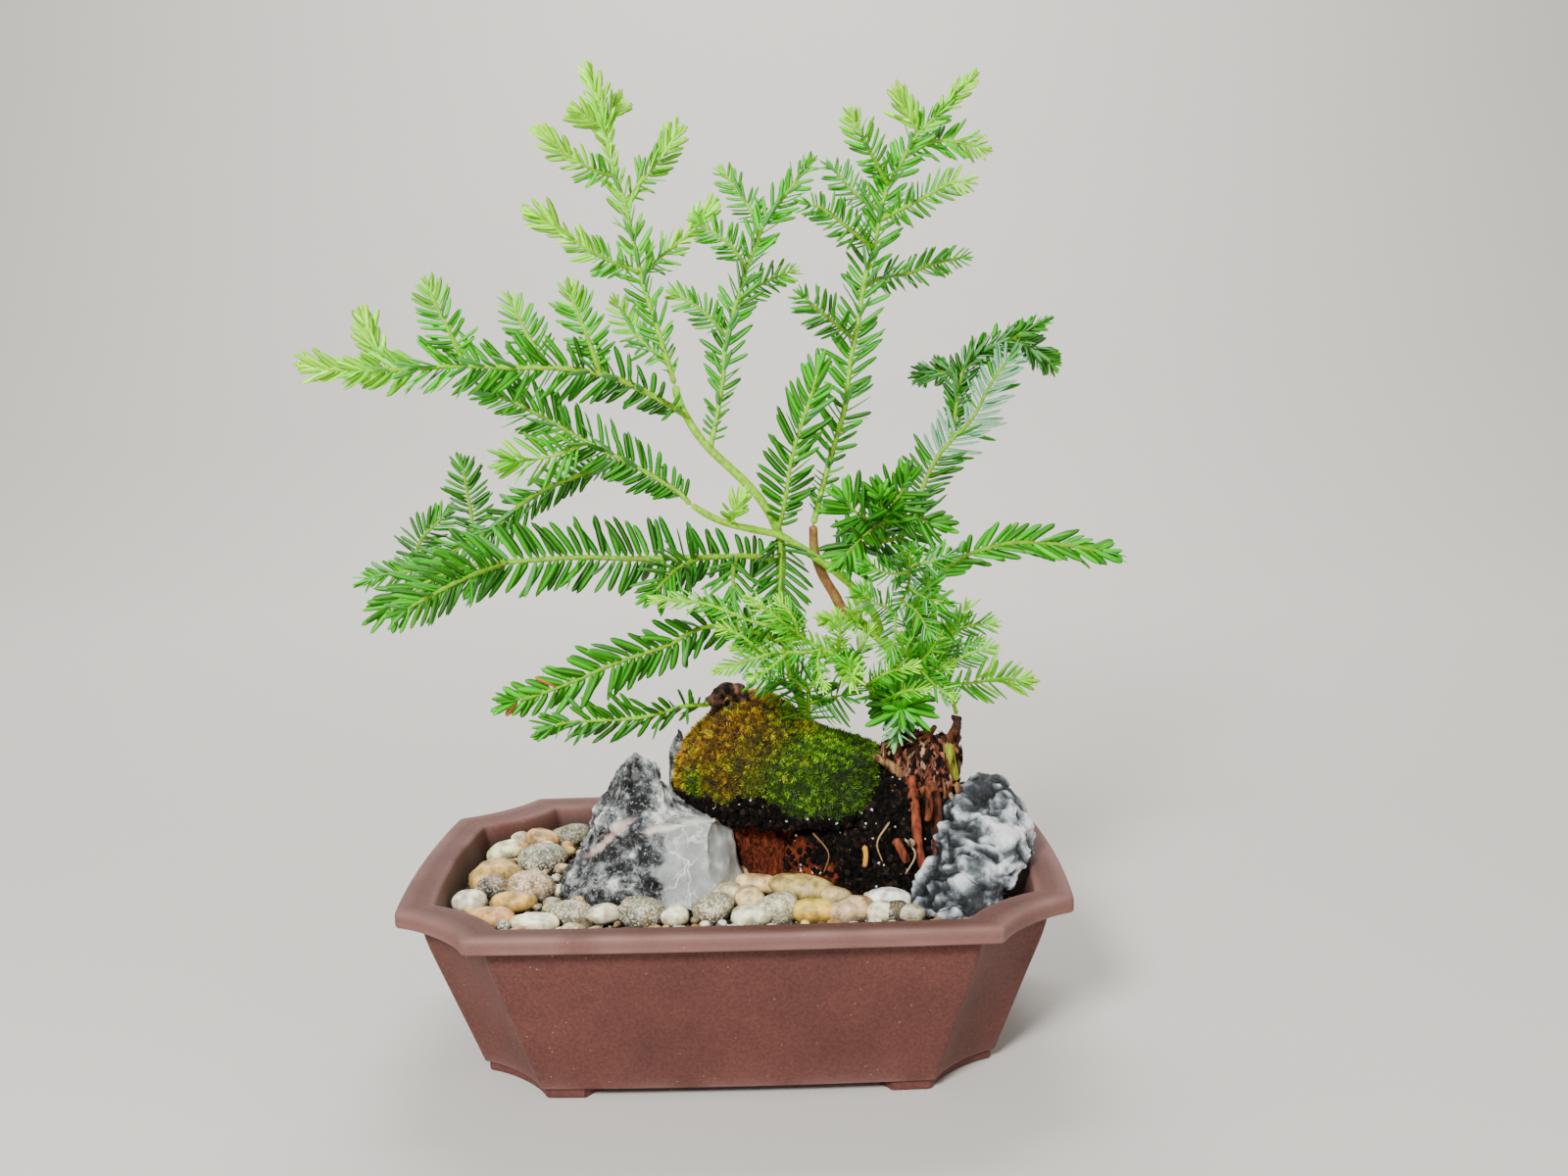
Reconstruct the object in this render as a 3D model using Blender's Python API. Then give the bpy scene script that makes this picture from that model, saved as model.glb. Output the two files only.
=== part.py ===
"""Coast redwood bonsai in a stoneware pot with rocks, moss and river gravel.

Metres, +Z up, the pot's feet on z = 0 and the pot's middle at the origin. The front of the tree faces -Y.
"""

import math
import random
from collections import namedtuple

import bmesh
import bpy
import numpy as np

MM = 0.001
GAP = 0.35 * MM

# Pot.
POT_HALF_LENGTH = 125 * MM
POT_HALF_DEPTH = 92.5 * MM
CORNER_NOTCH = 30 * MM
NOTCH_TAPER = 0.17
NOTCH_POWER = 1.5
TIP_RADIUS = 4 * MM
SIDE_BOW = 3 * MM
FRONT_BOW = 1.5 * MM
FOOT_HEIGHT = 4.2 * MM
FOOT_RUN = 16 * MM
FOOT_WIDTH = 9 * MM
FOOT_INSET = 28 * MM
FOOT_CHAMFER = 1 * MM
FLOOR_TOP = 10.2 * MM
LIP_INNER_INSET = 13 * MM
LIP_INNER_HEIGHT = 69.6 * MM
FLOOR_INSET = 31 * MM
DRAIN_RADIUS = 8 * MM
DRAIN_SPACING = 90 * MM
SCREEN_SIDE = 26 * MM
SCREEN_THICKNESS = 1 * MM

# The pot's section, from the foot of its wall up to the lip and down the inside to the floor's edge:
# (inset from the lip's edge, height) in millimetres.
POT_PROFILE = (
    (27.2, 4.2), (26.1, 5.4), (12.4, 48), (8.8, 60), (8.2, 66), (0.8, 66.2), (0, 67.6), (0, 71.4),
    (1.4, 72.6),
    (11.6, 71.9), (13, 69.6), (31, 10.2))

# What lies in the pot.
SOIL_TOP = 58 * MM
GRIT_THICKNESS = 2 * MM
PEBBLE_SPACING = 27 * MM

# Needles, at their real size.
NEEDLE_WIDTH = 2.7 * MM
ROSETTE_NEEDLE_WIDTH = 1.7 * MM
NEEDLE_GIRTH = 0.8 * MM
TIP_SHARE = 0.68
CLEARANCE = 1.5 * MM
END_NEEDLES = 8 * MM
BARE_FOOT = 8 * MM
SEAT_STEP = 0.2 * MM
SHORTEST_NEEDLE = 0.72
# How far needles lean out from their stem, in degrees, at the foot of the stem and at its tip.
SPREAD = {"flat": (62, 36), "round": (55, 35), "star": (72, 72)}
BARE_STEM_STEP = 8 * MM
# The turns about its stem, in degrees, that a needle tries until it clears what is near.
TILTS = (0, 14, -14, 28, -28, 42)
SEED = 11

# The tree was drawn as it looks from EYE: each stem's points are (x, z) in millimetres on an upright sheet
# through the pot's middle, and its depth then slides it along the line of sight.
EYE = np.array([16.7, -617.4, 264.5]) * MM

# Name: (colour as sRGB hex, roughness).
MATERIALS = {
    "stoneware": ("6E4C47", 0.62),
    "mesh_plastic": ("2B2B2B", 0.5),
    "potting_soil": ("2A211B", 0.95),
    "river_gravel": ("B9A587", 0.6),
    "marbled_limestone": ("7C7F83", 0.7),
    "slate": ("5A5F66", 0.65),
    "burl_bark": ("6B3524", 0.9),
    "black_peat": ("1D1916", 0.95),
    "moss_green": ("55661F", 0.95),
    "stump_wood": ("8A5236", 0.85),
    "stem_bark": ("7C6A36", 0.7),
    "dead_wood": ("2E2622", 0.9),
    "needle_dark": ("2F4F22", 0.5),
    "needle_mid": ("4C7430", 0.5),
    "needle_new": ("9CB83C", 0.5),
    "needle_silver": ("7F9A86", 0.55),
}

# Ring levels of the lumps: (height, left, right, front, back) in millimetres, joined upwards ring by ring.
Lump = namedtuple("Lump", "levels sides power rough seed")
LUMPS = {
    "rock_left": Lump((
        (58.35, -69, -1, -34, 12), (67, -72, 4, -34, 12), (75, -64, 5, -32, 11), (86, -61, 3, -29, 9),
        (92, -60, -2, -27, 7), (96, -59, -20, -25, 4), (104, -54, -27, -22, 1), (112, -47, -30, -19, -3),
        (119.5, -40, -37, -14, -9)), 12, 2.3, 0.1, 3),
    "rock_sliver": Lump((
        (58.35, -31, -21, 15, 26), (90, -29, -20, 15, 26), (108, -28, -20.5, 16, 24),
        (119, -25.5, -22, 18, 21)),
        6, 2.3, 0.08, 5),
    "rock_right": Lump((
        (58.35, 66, 100, -54, -8), (66, 65, 109, -53, 2), (73.3, 70, 111, -45, 10),
        (75.5, 72, 118, -42, 12),
        (83, 77, 119, -34, 14), (91, 82, 117, -26, 15), (98, 88, 112, -18, 12), (103, 93, 107, -8, 6)),
        11, 2.2, 0.1, 8),
    "burl": Lump((
        (58.35, 2, 31, -13, 33), (70, -1, 33, -14, 36), (84, -11, 34, -14, 37), (96, -18, 35, -16, 36),
        (108, -20, 35, -17, 34), (119, -14, 31, -12, 28), (126, -5, 21, -5, 20), (130, 3, 13, 2, 12)),
        12, 2.1, 0.05, 13),
    "root_ball": Lump((
        (58.35, 12, 85, -24, 46), (70, 12, 87, -25, 47), (84, 14, 87, -23, 45), (95, 16, 83, -18, 40),
        (103, 22, 76, -9, 32), (107, 32, 66, 0, 22)), 14, 2.3, 0.05, 17),
    "moss": Lump((
        (89.5, -12, 57, -26, 45), (98, -24, 60, -28, 45), (108, -25, 59.5, -27, 43),
        (114, -22, 55, -25, 40),
        (120, -18, 37, -22, 36), (127, -12, 28, -17, 30), (133, -4, 20, -9, 22), (137, 3, 13, -1, 12)),
        14, 2.2, 0.05, 21),
    "stump": Lump((
        (92, 64, 88, -6, 26), (101, 62, 91, -8, 28), (110, 59, 91, -6, 24), (116, 62, 87, -2, 18),
        (118.5, 67, 80, 2, 12)), 9, 2.2, 0.1, 27),
}

GROUND_LUMPS = ("rock_left", "rock_sliver", "rock_right", "burl", "root_ball")
ROCKS = {"rock_left": "marbled_limestone", "rock_sliver": "marbled_limestone", "rock_right": "slate"}

# Bark strips, sticks and roots of the stump: (thick radius, thin radius, points (x, y, z)), in millimetres.
STUMP_STICKS = (
    (4.4, 2.6, ((77, -2, 110), (79, -11, 96), (80, -14, 82), (80, -17, 68), (79, -16, 59.5))),
    (2.8, 1.4, ((70, -4, 104), (71, -14, 92), (72, -19, 78), (75, -21, 66))),
    (2.6, 1.5, ((80, 4, 106), (85, 4, 114), (89, 3, 122))),
    (2.8, 1.2, ((67, -2, 104), (61, -6, 110), (55, -8, 114))),
    (2.4, 1.0, ((68, 2, 108), (64, -1, 115), (61, -3, 121))),
    (2.2, 1.0, ((75, 4, 110), (77, 3, 117), (81, 0, 124))),
    (1.0, 0.7, ((84, -4, 100), (87.5, -8, 93), (86.5, -10, 84), (84, -12, 75))),
    (2.6, 1.2, ((84, 16, 102), (89, 20, 108), (92, 24, 114))),
    (2.4, 1.1, ((74, 22, 104), (72, 28, 110), (69, 30, 117))),
)

# Woody stems: (slot, thick radius, thin radius, start depth, end depth, sheet points).
STEMS = {
    "trunk_left": ("stem_bark", 2.3, 1.6, 5, 3,
                   ((33, 111), (31, 122), (28, 132), (24, 144), (22, 155), (20, 168), (19.5, 180),
                    (20, 200),
                    (14, 214), (6, 224), (-9, 239), (-17.5, 253), (-20, 262))),
    "trunk_right": ("stem_bark", 3.0, 1.8, 8, 4,
                    ((70, 109), (69.5, 118), (68, 130), (66, 147), (62, 157), (54, 164), (45, 171),
                     (41, 178),
                     (36.5, 186), (33.5, 195), (33, 206))),
    "trunk_stub": ("dead_wood", 2.6, 2.0, 12, 12, ((86, 109), (88, 118), (89.5, 128))),
    "dead_stub": ("dead_wood", 3.4, 2.8, 2, -4, ((8, 129), (4, 137), (-3, 140.5), (-10, 134.5))),
}

Twig = namedtuple("Twig", "depth roll route")
Spray = namedtuple("Spray", "slot grows_from habit needle radius twigs")


def flat(slot, grows_from, needle, radius, *twigs):
    """A spray whose needles lie in two ranks."""
    return Spray(slot, grows_from, "flat", needle, radius, [Twig(*twig) for twig in twigs])


def round_shoot(slot, grows_from, needle, radius, *twigs):
    """An upright shoot with needles all round its stem."""
    return Spray(slot, grows_from, "round", needle, radius, [Twig(*twig) for twig in twigs])


# Leafy stems. Each twig is (end depth, roll of its flat face in degrees, sheet points). The first one grows
# from another node and the others from an earlier twig of their own node.
SPRAYS = {
    "leader_left": round_shoot(
        "needle_mid", "trunk_left", 13, 1.3,
        (-2, 0, ((-20, 263), (-23, 273), (-27, 287), (-31, 301), (-34, 316), (-37, 331), (-41, 344),
                 (-44, 356))),
        (-18, 10, ((-33, 305), (-48, 312), (-57, 318))),
        (14, -15, ((-30, 304), (-24, 311), (-17, 316))),
        (-14, 20, ((-41, 341), (-48, 344), (-54, 347))),
        (22, 10, ((-22, 270), (-34, 281), (-41, 293)))),
    "leader_left_tip": round_shoot(
        "needle_new", "leader_left", 13, 0.8,
        (-4, 0, ((-44, 357), (-45, 367), (-48, 377))),
        (-10, 0, ((-44, 359), (-52, 365))),
        (6, 0, ((-45, 360), (-39, 368)))),
    "new_tip_far_left": flat(
        "needle_new", "leader_left", 13, 0.8, (-22, 10, ((-58, 319), (-64, 323), (-70, 327)))),
    "new_tip_high_left": flat(
        "needle_new", "leader_left", 12, 0.8, (-18, 15, ((-55, 348), (-61, 352), (-66, 356)))),
    "new_tip_inner": flat(
        "needle_new", "leader_left", 12, 0.8, (18, -15, ((-16, 317), (-11, 322), (-5, 328)))),
    "new_shoot_high": flat("needle_new", "leader_left", 15, 0.9,
                           (16, -25, ((-38, 332), (-28, 342), (-20, 352), (-14, 362)))),
    "leader_middle": round_shoot(
        "needle_mid", "trunk_left", 12, 1.2,
        (24, 0, ((-6, 237), (-4, 249), (-1, 264), (0, 276), (3, 287), (8, 303), (12, 313), (16, 322),
                 (22, 330),
                 (30, 340), (37, 349))),
        (30, 0, ((15, 320), (10, 330), (2, 341))),
        (6, 10, ((9, 306), (3, 315), (-8, 323))),
        (34, -10, ((6, 293), (15, 300), (25, 304))),
        (6, 15, ((0, 280), (-8, 290), (-17, 296)))),
    "leader_right": round_shoot(
        "needle_mid", "trunk_right", 13, 1.4,
        (10, 0, ((33, 207), (36, 217), (40, 231), (45, 247), (47, 256), (49, 271), (52, 285), (55, 302),
                 (59, 314), (61, 325), (64, 335),
                 (69, 344), (75, 354), (82, 361), (88, 367))),
        (-10, 0, ((64, 336), (58, 348), (52, 360))),
        (22, 10, ((70, 347), (81, 352), (91, 352), (106, 348)))),
    "leader_right_tip": flat(
        "needle_new", "leader_right", 11, 0.8, (11, 0, ((89, 368), (92, 371), (95, 374)))),
    "new_tip_crown": flat("needle_new", "leader_right", 12, 0.8, (2, 5, ((76, 355), (73, 361), (70, 367)))),
    "fern_right_high": flat(
        "needle_mid", "leader_right", 15, 1.1,
        (-24, 20, ((61, 323), (71, 328), (81, 333), (90, 337), (100, 336)))),
    "fern_right_low": flat(
        "needle_dark", "leader_right", 15, 1.1,
        (36, -25, ((54, 297), (60, 301), (72, 303), (84, 307), (99, 309)))),
    "fern_left_high": flat(
        "needle_mid", "leader_right", 14, 1.1,
        (-26, 20, ((57, 313), (48, 321), (39, 328), (28, 331)))),
    "fern_left_back": flat(
        "needle_dark", "leader_right", 13, 1.0, (40, -10, ((62, 327), (52, 333), (43, 343)))),
    "fern_left_low": flat(
        "needle_dark", "leader_right", 15, 1.1,
        (-16, 15, ((49, 278), (41, 286), (34, 292), (26, 299)))),
    "fan_centre": flat(
        "needle_mid", "trunk_left", 15, 1.1,
        (-20, -10, ((20, 203), (22, 215), (25, 232), (29, 245), (33, 256), (38, 273)))),
    "spray_right_base": flat(
        "needle_dark", "trunk_right", 16, 1.3,
        (22, -5, ((38, 190), (45, 193), (53, 198), (62, 199), (72, 202), (80, 206)))),
    "silver_spray": flat(
        "needle_silver", "spray_right_base", 17, 1.2,
        (46, 20, ((73, 204), (76, 218), (82, 231), (89, 239), (96, 246), (102, 257), (107, 265),
                  (115, 273)))),
    "dark_spray_high": flat(
        "needle_dark", "silver_spray", 17, 1.1,
        (60, -15, ((88, 238), (90, 252), (93, 266), (101, 273), (113, 278), (121, 282), (128, 285))),
        (66, 0, ((112, 277), (120, 273), (127, 267))),
        (70, 0, ((93, 264), (84, 265), (76, 263)))),
    "arching_right": flat(
        "needle_dark", "trunk_right", 17, 1.4,
        (24, 25, ((65, 151), (71, 157), (73, 166), (75, 175), (79, 182), (85, 187), (91, 191), (98, 194),
                  (112, 197), (130, 196), (142, 194), (154, 191))),
        (-12, 0, ((76, 182), (79, 178), (81, 169), (82, 158)))),
    "silver_cluster": flat(
        "needle_silver", "spray_right_base", 12, 0.9,
        (-24, 30, ((68, 199), (70, 192), (71, 184), (68, 175), (61, 165))),
        (-26, 0, ((70, 183), (71, 189), (71.5, 195)))),
    "shoot_right": flat(
        "needle_mid", "trunk_stub", 12, 1.0,
        (24, 0, ((89, 129), (86, 140), (83, 152), (88, 163), (97, 176))),
        (34, 0, ((84, 150), (90, 154), (97, 158)))),
    "tuft_right": flat(
        "needle_mid", "trunk_right", 13, 1.0,
        (-12, 10, ((66, 143), (73, 147), (81, 147), (92, 149))),
        (-20, 10, ((73, 147), (78, 153), (82, 159)))),
    "cluster_mid": flat(
        "needle_dark", "spray_right_base", 14, 1.0,
        (-14, 15, ((59, 199), (61, 207), (60, 216))),
        (-26, -30, ((60, 207), (53, 201), (47, 195), (41, 188))),
        (-8, 20, ((61, 207), (69, 209), (79, 206)))),
    "pale_right_low": flat(
        "needle_new", "shoot_right", 13, 0.9,
        (30, 30, ((86, 140), (96, 141), (104, 142), (112, 142), (121, 141)))),
    "droop_centre": flat(
        "needle_dark", "trunk_left", 15, 1.1, (-22, 0, ((20, 204), (20, 197), (20, 190), (19.5, 182),
                                                        (19, 173), (17.5, 160)))),
    "stem_crossing": Spray("stem_bark", "trunk_right", "bare", 0, 1.9, [
        Twig(-12, 0, ((60, 159), (57, 169), (50, 179), (43, 186), (35, 192), (28, 197), (20, 202),
                      (10, 204.5), (0, 207), (-8, 210.5), (-15, 215)))]),
    "tuft_crossing": flat("needle_new", "stem_crossing", 10, 0.9, (-20, 0, ((1, 207), (2, 212), (5, 217)))),
    "pale_inner": flat(
        "needle_new", "trunk_right", 10, 0.9,
        (-14, 0, ((53, 165), (46, 168), (38, 168))),
        (-22, 0, ((47, 168), (50, 172), (52, 178)))),
    "branch_left_high": flat(
        "needle_mid", "trunk_left", 16, 1.5,
        (-28, 20, ((-15, 250), (-27, 257), (-43, 265), (-60, 269), (-81, 270), (-104, 271), (-127, 270),
                   (-149, 270))),
        (-34, 5, ((-101, 271), (-107, 285), (-112, 296), (-116, 307))),
        (-6, -10, ((-69, 270), (-76, 281), (-81, 292), (-85, 300))),
        (-22, 10, ((-49, 267), (-54, 283), (-58, 294), (-61, 305)))),
    "tip_left_high": flat(
        "needle_new", "branch_left_high", 13, 0.9, (-30, 20, ((-150, 270), (-155, 271), (-160, 272)))),
    "fan_left_high": flat(
        "needle_new", "branch_left_high", 13, 0.8, (-20, 0, ((-131, 270), (-136, 279), (-139, 288)))),
    "branch_left_mid": flat(
        "needle_dark", "stem_crossing", 15, 1.3,
        (-4, 25, ((-15, 215), (-21, 221), (-37, 231), (-54, 240), (-71, 250), (-84, 257), (-97, 262)))),
    "fresh_left_mid": flat("needle_new", "branch_left_mid", 13, 0.9,
                           (-24, 20, ((-55, 240), (-66, 236), (-78, 234), (-91, 234)))),
    "branch_left_long": flat(
        "needle_dark", "branch_left_mid", 17, 1.3,
        (38, -15, ((-39, 232), (-50, 230), (-68, 224), (-81, 217), (-93, 207), (-107, 200), (-124, 192),
                   (-136, 190),
                   (-148, 187))),
        (26, 0, ((-101, 203), (-102, 216), (-104, 231))),
        (44, 0, ((-126, 192), (-122, 203), (-113, 212)))),
    "branch_left_low": flat(
        "needle_dark", "trunk_left", 18, 1.5,
        (-26, 15, ((19, 192), (8, 194), (-14, 194), (-37, 194), (-60, 195), (-83, 194), (-106, 192),
                   (-125, 184),
                   (-142, 172))),
        (-50, 20, ((-88, 193), (-107, 187), (-129, 176))),
        (-30, 0, ((-12, 194), (-22, 189), (-30, 181))),
        (-22, 0, ((2, 194), (1, 188), (1, 181), (2, 173)))),
    "spray_lower_left": flat(
        "needle_dark", "trunk_left", 15, 1.3,
        (-36, 25, ((22, 158), (8, 164), (-11, 166), (-26, 159), (-45, 153), (-62, 146), (-82, 139),
                   (-95, 137)))),
    "spray_bottom_left": flat(
        "needle_mid", "dead_stub", 14, 1.1,
        (-34, 45, ((-10, 134), (-21, 134), (-37, 130), (-57, 129), (-70, 128), (-80, 124)))),
    "pale_centre": flat(
        "needle_new", "trunk_right", 14, 1.1,
        (-34, 15, ((68, 130), (62, 133), (56, 138), (50, 144), (46, 151), (38, 155), (29, 160), (21, 164),
                   (14, 173))),
        (-38, 10, ((38, 155), (25, 155), (9, 156), (-5, 158))),
        (-22, 0, ((47, 150), (52, 157), (55, 163))),
        (-40, 10, ((20, 164), (8, 168), (-9, 175), (-22, 177), (-37, 178))),
        (-46, 10, ((18, 156), (9, 153), (-4, 149)))),
    "rosette_centre": Spray("needle_new", "pale_centre", "star", 10, 1.0, [
        Twig(-42, 0, ((46, 151), (46.5, 148), (47.5, 144)))]),
    "rosette_right": Spray("needle_silver", "trunk_right", "star", 13, 1.1, [
        Twig(-12, 0, ((68, 137), (67.5, 134), (67, 131))),
        Twig(-10, 0, ((67, 130), (66, 125), (65, 120)))]),
    "shoot_moss": flat("needle_dark", "trunk_left", 14, 0.9,
                       (-24, 0, ((31, 126), (30, 134), (31, 141), (36, 148)))),
    "shoot_blue": flat("needle_silver", "trunk_left", 12, 0.9, (-18, 10, ((25, 141), (19, 144), (9, 145)))),
}

# Pebbles that show in front and on the left: (x, y, length, width, turn in degrees), in millimetres.
PEBBLES = (
    (-101, 60, 14, 10, 10), (-88, 58, 17, 11, -20), (-77, 62, 18, 11, 5), (-101, 40, 15, 12, 30),
    (-84, 27, 20, 17, 10), (-99, 5, 23, 16, 20), (-97, -12, 13, 10, 0), (-105, -26, 13, 12, 0),
    (-83, -11, 20, 18, 30), (-86, -29, 18, 10, -5), (-93, -43, 18, 10, -15), (-76, -49, 19, 9, -4),
    (-63, -43, 19, 11, -15), (-50, -46, 15, 11, 15), (-36, -45, 20, 13, 5), (-23, -49, 11, 9, 0),
    (-9, -43, 17, 14, 30), (-4, -26, 12, 11, 0), (5, -33, 13, 14, 0), (6, -51, 14, 9, 0),
    (9, -17, 20, 10, -10),
    (25, -23, 27, 15, -15), (15, -45, 18, 13, 10), (29, -47, 16, 12, -10), (43, -48, 17, 13, 0),
    (39, -30, 14, 9, 0), (54, -50, 12, 9, 10), (59, -37, 17, 10, 5),
)


def hex_colour(text):
    """The linear colour of an sRGB hex value."""
    srgb = [int(text[i:i + 2], 16) / 255 for i in (0, 2, 4)]
    return [c / 12.92 if c <= 0.04045 else ((c + 0.055) / 1.055) ** 2.4 for c in srgb] + [1.0]


def material(slot):
    """The slot's material, made once."""
    if slot in bpy.data.materials:
        return bpy.data.materials[slot]
    colour, roughness = MATERIALS[slot]
    made = bpy.data.materials.new(slot)
    made.use_nodes = True
    shader = made.node_tree.nodes["Principled BSDF"]
    shader.inputs["Base Color"].default_value = hex_colour(colour)
    shader.inputs["Roughness"].default_value = roughness
    shader.inputs["Metallic"].default_value = 0.0
    made.diffuse_color = hex_colour(colour)
    return made


def add_object(name, body, slot=None):
    """A mesh object from (points, faces), with its normals made to point outwards."""
    mesh = bpy.data.meshes.new(name)
    mesh.from_pydata([tuple(point) for point in body[0]], [], [tuple(face) for face in body[1]])
    work = bmesh.new()
    work.from_mesh(mesh)
    bmesh.ops.recalc_face_normals(work, faces=work.faces)
    work.to_mesh(mesh)
    work.free()
    made = bpy.data.objects.new(name, mesh)
    bpy.context.scene.collection.objects.link(made)
    if slot:
        mesh.materials.append(material(slot))
    return made


def combine(target, bodies, operation):
    """One Boolean of the target with a collection of closed bodies, applied; the collection is removed."""
    if not bodies:
        return
    group = bpy.data.collections.new(target.name + "_operands")
    bpy.context.scene.collection.children.link(group)
    for body in bodies:
        operand = add_object("operand", body)
        bpy.context.scene.collection.objects.unlink(operand)
        group.objects.link(operand)
    boolean = target.modifiers.new("combine", "BOOLEAN")
    boolean.operation = operation
    boolean.operand_type = "COLLECTION"
    boolean.collection = group
    boolean.solver = "MANIFOLD"
    graph = bpy.context.evaluated_depsgraph_get()
    result = bpy.data.meshes.new_from_object(target.evaluated_get(graph))
    target.modifiers.clear()
    target.data = result
    for operand in list(group.objects):
        bpy.data.objects.remove(operand)
    bpy.data.collections.remove(group)


def drop_scraps(target):
    """Keeps the largest of the bodies that a cut has left, and drops the rest."""
    work = bmesh.new()
    work.from_mesh(target.data)
    unseen, islands = set(work.verts), []
    while unseen:
        island, edge_of = set(), [unseen.pop()]
        while edge_of:
            vert = edge_of.pop()
            island.add(vert)
            for edge in vert.link_edges:
                other = edge.other_vert(vert)
                if other in unseen:
                    unseen.remove(other)
                    edge_of.append(other)
        islands.append(island)
    largest = max(islands, key=len)
    scraps = [vert for island in islands if island is not largest for vert in island]
    bmesh.ops.delete(work, geom=scraps, context="VERTS")
    work.to_mesh(target.data)
    work.free()


def loft(rings):
    """A closed body through rings that all have the same number of points, with a flat cap at each end."""
    count = len(rings[0])
    faces = []
    for k in range(len(rings) - 1):
        for i in range(count):
            low, next_low = k * count + i, k * count + (i + 1) % count
            faces += [(low, next_low, next_low + count), (low, next_low + count, low + count)]
    faces.append(tuple(reversed(range(count))))
    faces.append(tuple(range((len(rings) - 1) * count, len(rings) * count)))
    return np.concatenate(rings), faces


def cone_top(rings):
    """A closed body through the rings whose last one is drawn together in a point."""
    points, faces = loft(rings[:-1])
    count, last = len(rings[0]), len(points)
    faces = faces[:-1] + [(last - count + i, last - count + (i + 1) % count, last) for i in range(count)]
    return np.concatenate([points, rings[-1].mean(0, keepdims=True)]), faces


def swollen(body, distance=1.6 * GAP):
    """The body with each point moved out along its normal: the shape that cuts room for it in a neighbour."""
    work = bmesh.new()
    points = [work.verts.new(point) for point in body[0]]
    for face in body[1]:
        work.faces.new([points[i] for i in face])
    bmesh.ops.recalc_face_normals(work, faces=work.faces)
    work.normal_update()
    moved = np.array([point.co + point.normal * distance for point in points])
    work.free()
    return moved, body[1]


def lump(name):
    """The named lump: superellipse rings with a seeded unevenness."""
    shape = LUMPS[name]
    draw = random.Random(shape.seed)
    angles = [2 * math.pi * i / shape.sides for i in range(shape.sides)]
    rings = []
    for height, left, right, front, back in shape.levels:
        ring = []
        for angle in angles:
            uneven = 1 + shape.rough * draw.uniform(-1, 1)
            cos, sin = math.cos(angle), math.sin(angle)
            across = math.copysign(abs(cos) ** (2 / shape.power), cos)
            along = math.copysign(abs(sin) ** (2 / shape.power), sin)
            ring.append((
                (left + right) / 2 + across * (right - left) / 2 * uneven,
                (front + back) / 2 + along * (back - front) / 2 * uneven,
                height))
        rings.append(np.array(ring) * MM)
    return loft(rings)


def inside_lump(name, points, margin):
    """Which points lie in the named lump widened by margin, read from its ring levels."""
    shape = LUMPS[name]
    table = np.array(shape.levels) * MM
    heights = points[:, 2]
    left, right, front, back = (np.interp(heights, table[:, 0], table[:, i]) for i in range(1, 5))
    across = (points[:, 0] - (left + right) / 2) / ((right - left) / 2 * (1 + shape.rough) + margin)
    along = (points[:, 1] - (front + back) / 2) / ((back - front) / 2 * (1 + shape.rough) + margin)
    level = (heights > table[0, 0] - margin) & (heights < table[-1, 0] + margin)
    return level & (np.abs(across) ** shape.power + np.abs(along) ** shape.power < 1)


def run_of(points):
    """The distance along a polyline at each of its points."""
    return np.concatenate([[0], np.cumsum(np.linalg.norm(np.diff(points, axis=0), axis=1))])


def resample(points, spacing):
    """Points at about the spacing along a polyline."""
    run = run_of(points)
    places = np.linspace(0, run[-1], max(2, round(run[-1] / spacing) + 1))
    return np.stack([np.interp(places, run, points[:, i]) for i in range(3)], axis=1)


def smooth(points, spacing):
    """Points at about the spacing along a Catmull-Rom curve through the given ones."""
    points = np.asarray(points, float)
    padded = np.concatenate([[2 * points[0] - points[1]], points, [2 * points[-1] - points[-2]]])
    fine = [points[:1]]
    t = np.linspace(0, 1, 9)[1:, None]
    for a, b, c, d in zip(padded, padded[1:], padded[2:], padded[3:]):
        fine.append(0.5 * (2 * b + (c - a) * t + (2 * a - 5 * b + 4 * c - d) * t ** 2
                           + (3 * b - a - 3 * c + d) * t ** 3))
    return resample(np.concatenate(fine), spacing)


def unit(vectors):
    return vectors / np.linalg.norm(vectors, axis=-1, keepdims=True)


def frames(points):
    """Along, facing and sideways unit vectors at each point. Facing is square to the stem, towards EYE."""
    along = unit(np.gradient(points, axis=0))
    sight = unit(EYE - points)
    upright = np.array([0.0, 0.0, 1.0])
    reference = np.where(np.abs((sight * along).sum(1, keepdims=True)) > 0.9, upright, sight)
    facing = unit(reference - (reference * along).sum(1, keepdims=True) * along)
    return along, facing, np.cross(along, facing)


def tube(points, radii, sides):
    """A closed tapered tube through the points, with flats and not edges to its left and right."""
    along, facing, sideways = frames(points)
    angles = 2 * np.pi * (np.arange(sides) + 0.5) / sides
    return loft([
        centre + radius * (np.cos(angles)[:, None] * side + np.sin(angles)[:, None] * face)
        for centre, radius, side, face in zip(points, radii, sideways, facing)
    ])


def slide(sheet, depths):
    """Sheet points (x, z) in millimetres, moved along the line of sight from EYE to the depths."""
    flat_points = np.array([(x, 0, z) for x, z in sheet]) * MM
    scale = (np.asarray(depths) - EYE[1]) / -EYE[1]
    return EYE + (flat_points - EYE) * scale[:, None]


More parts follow.
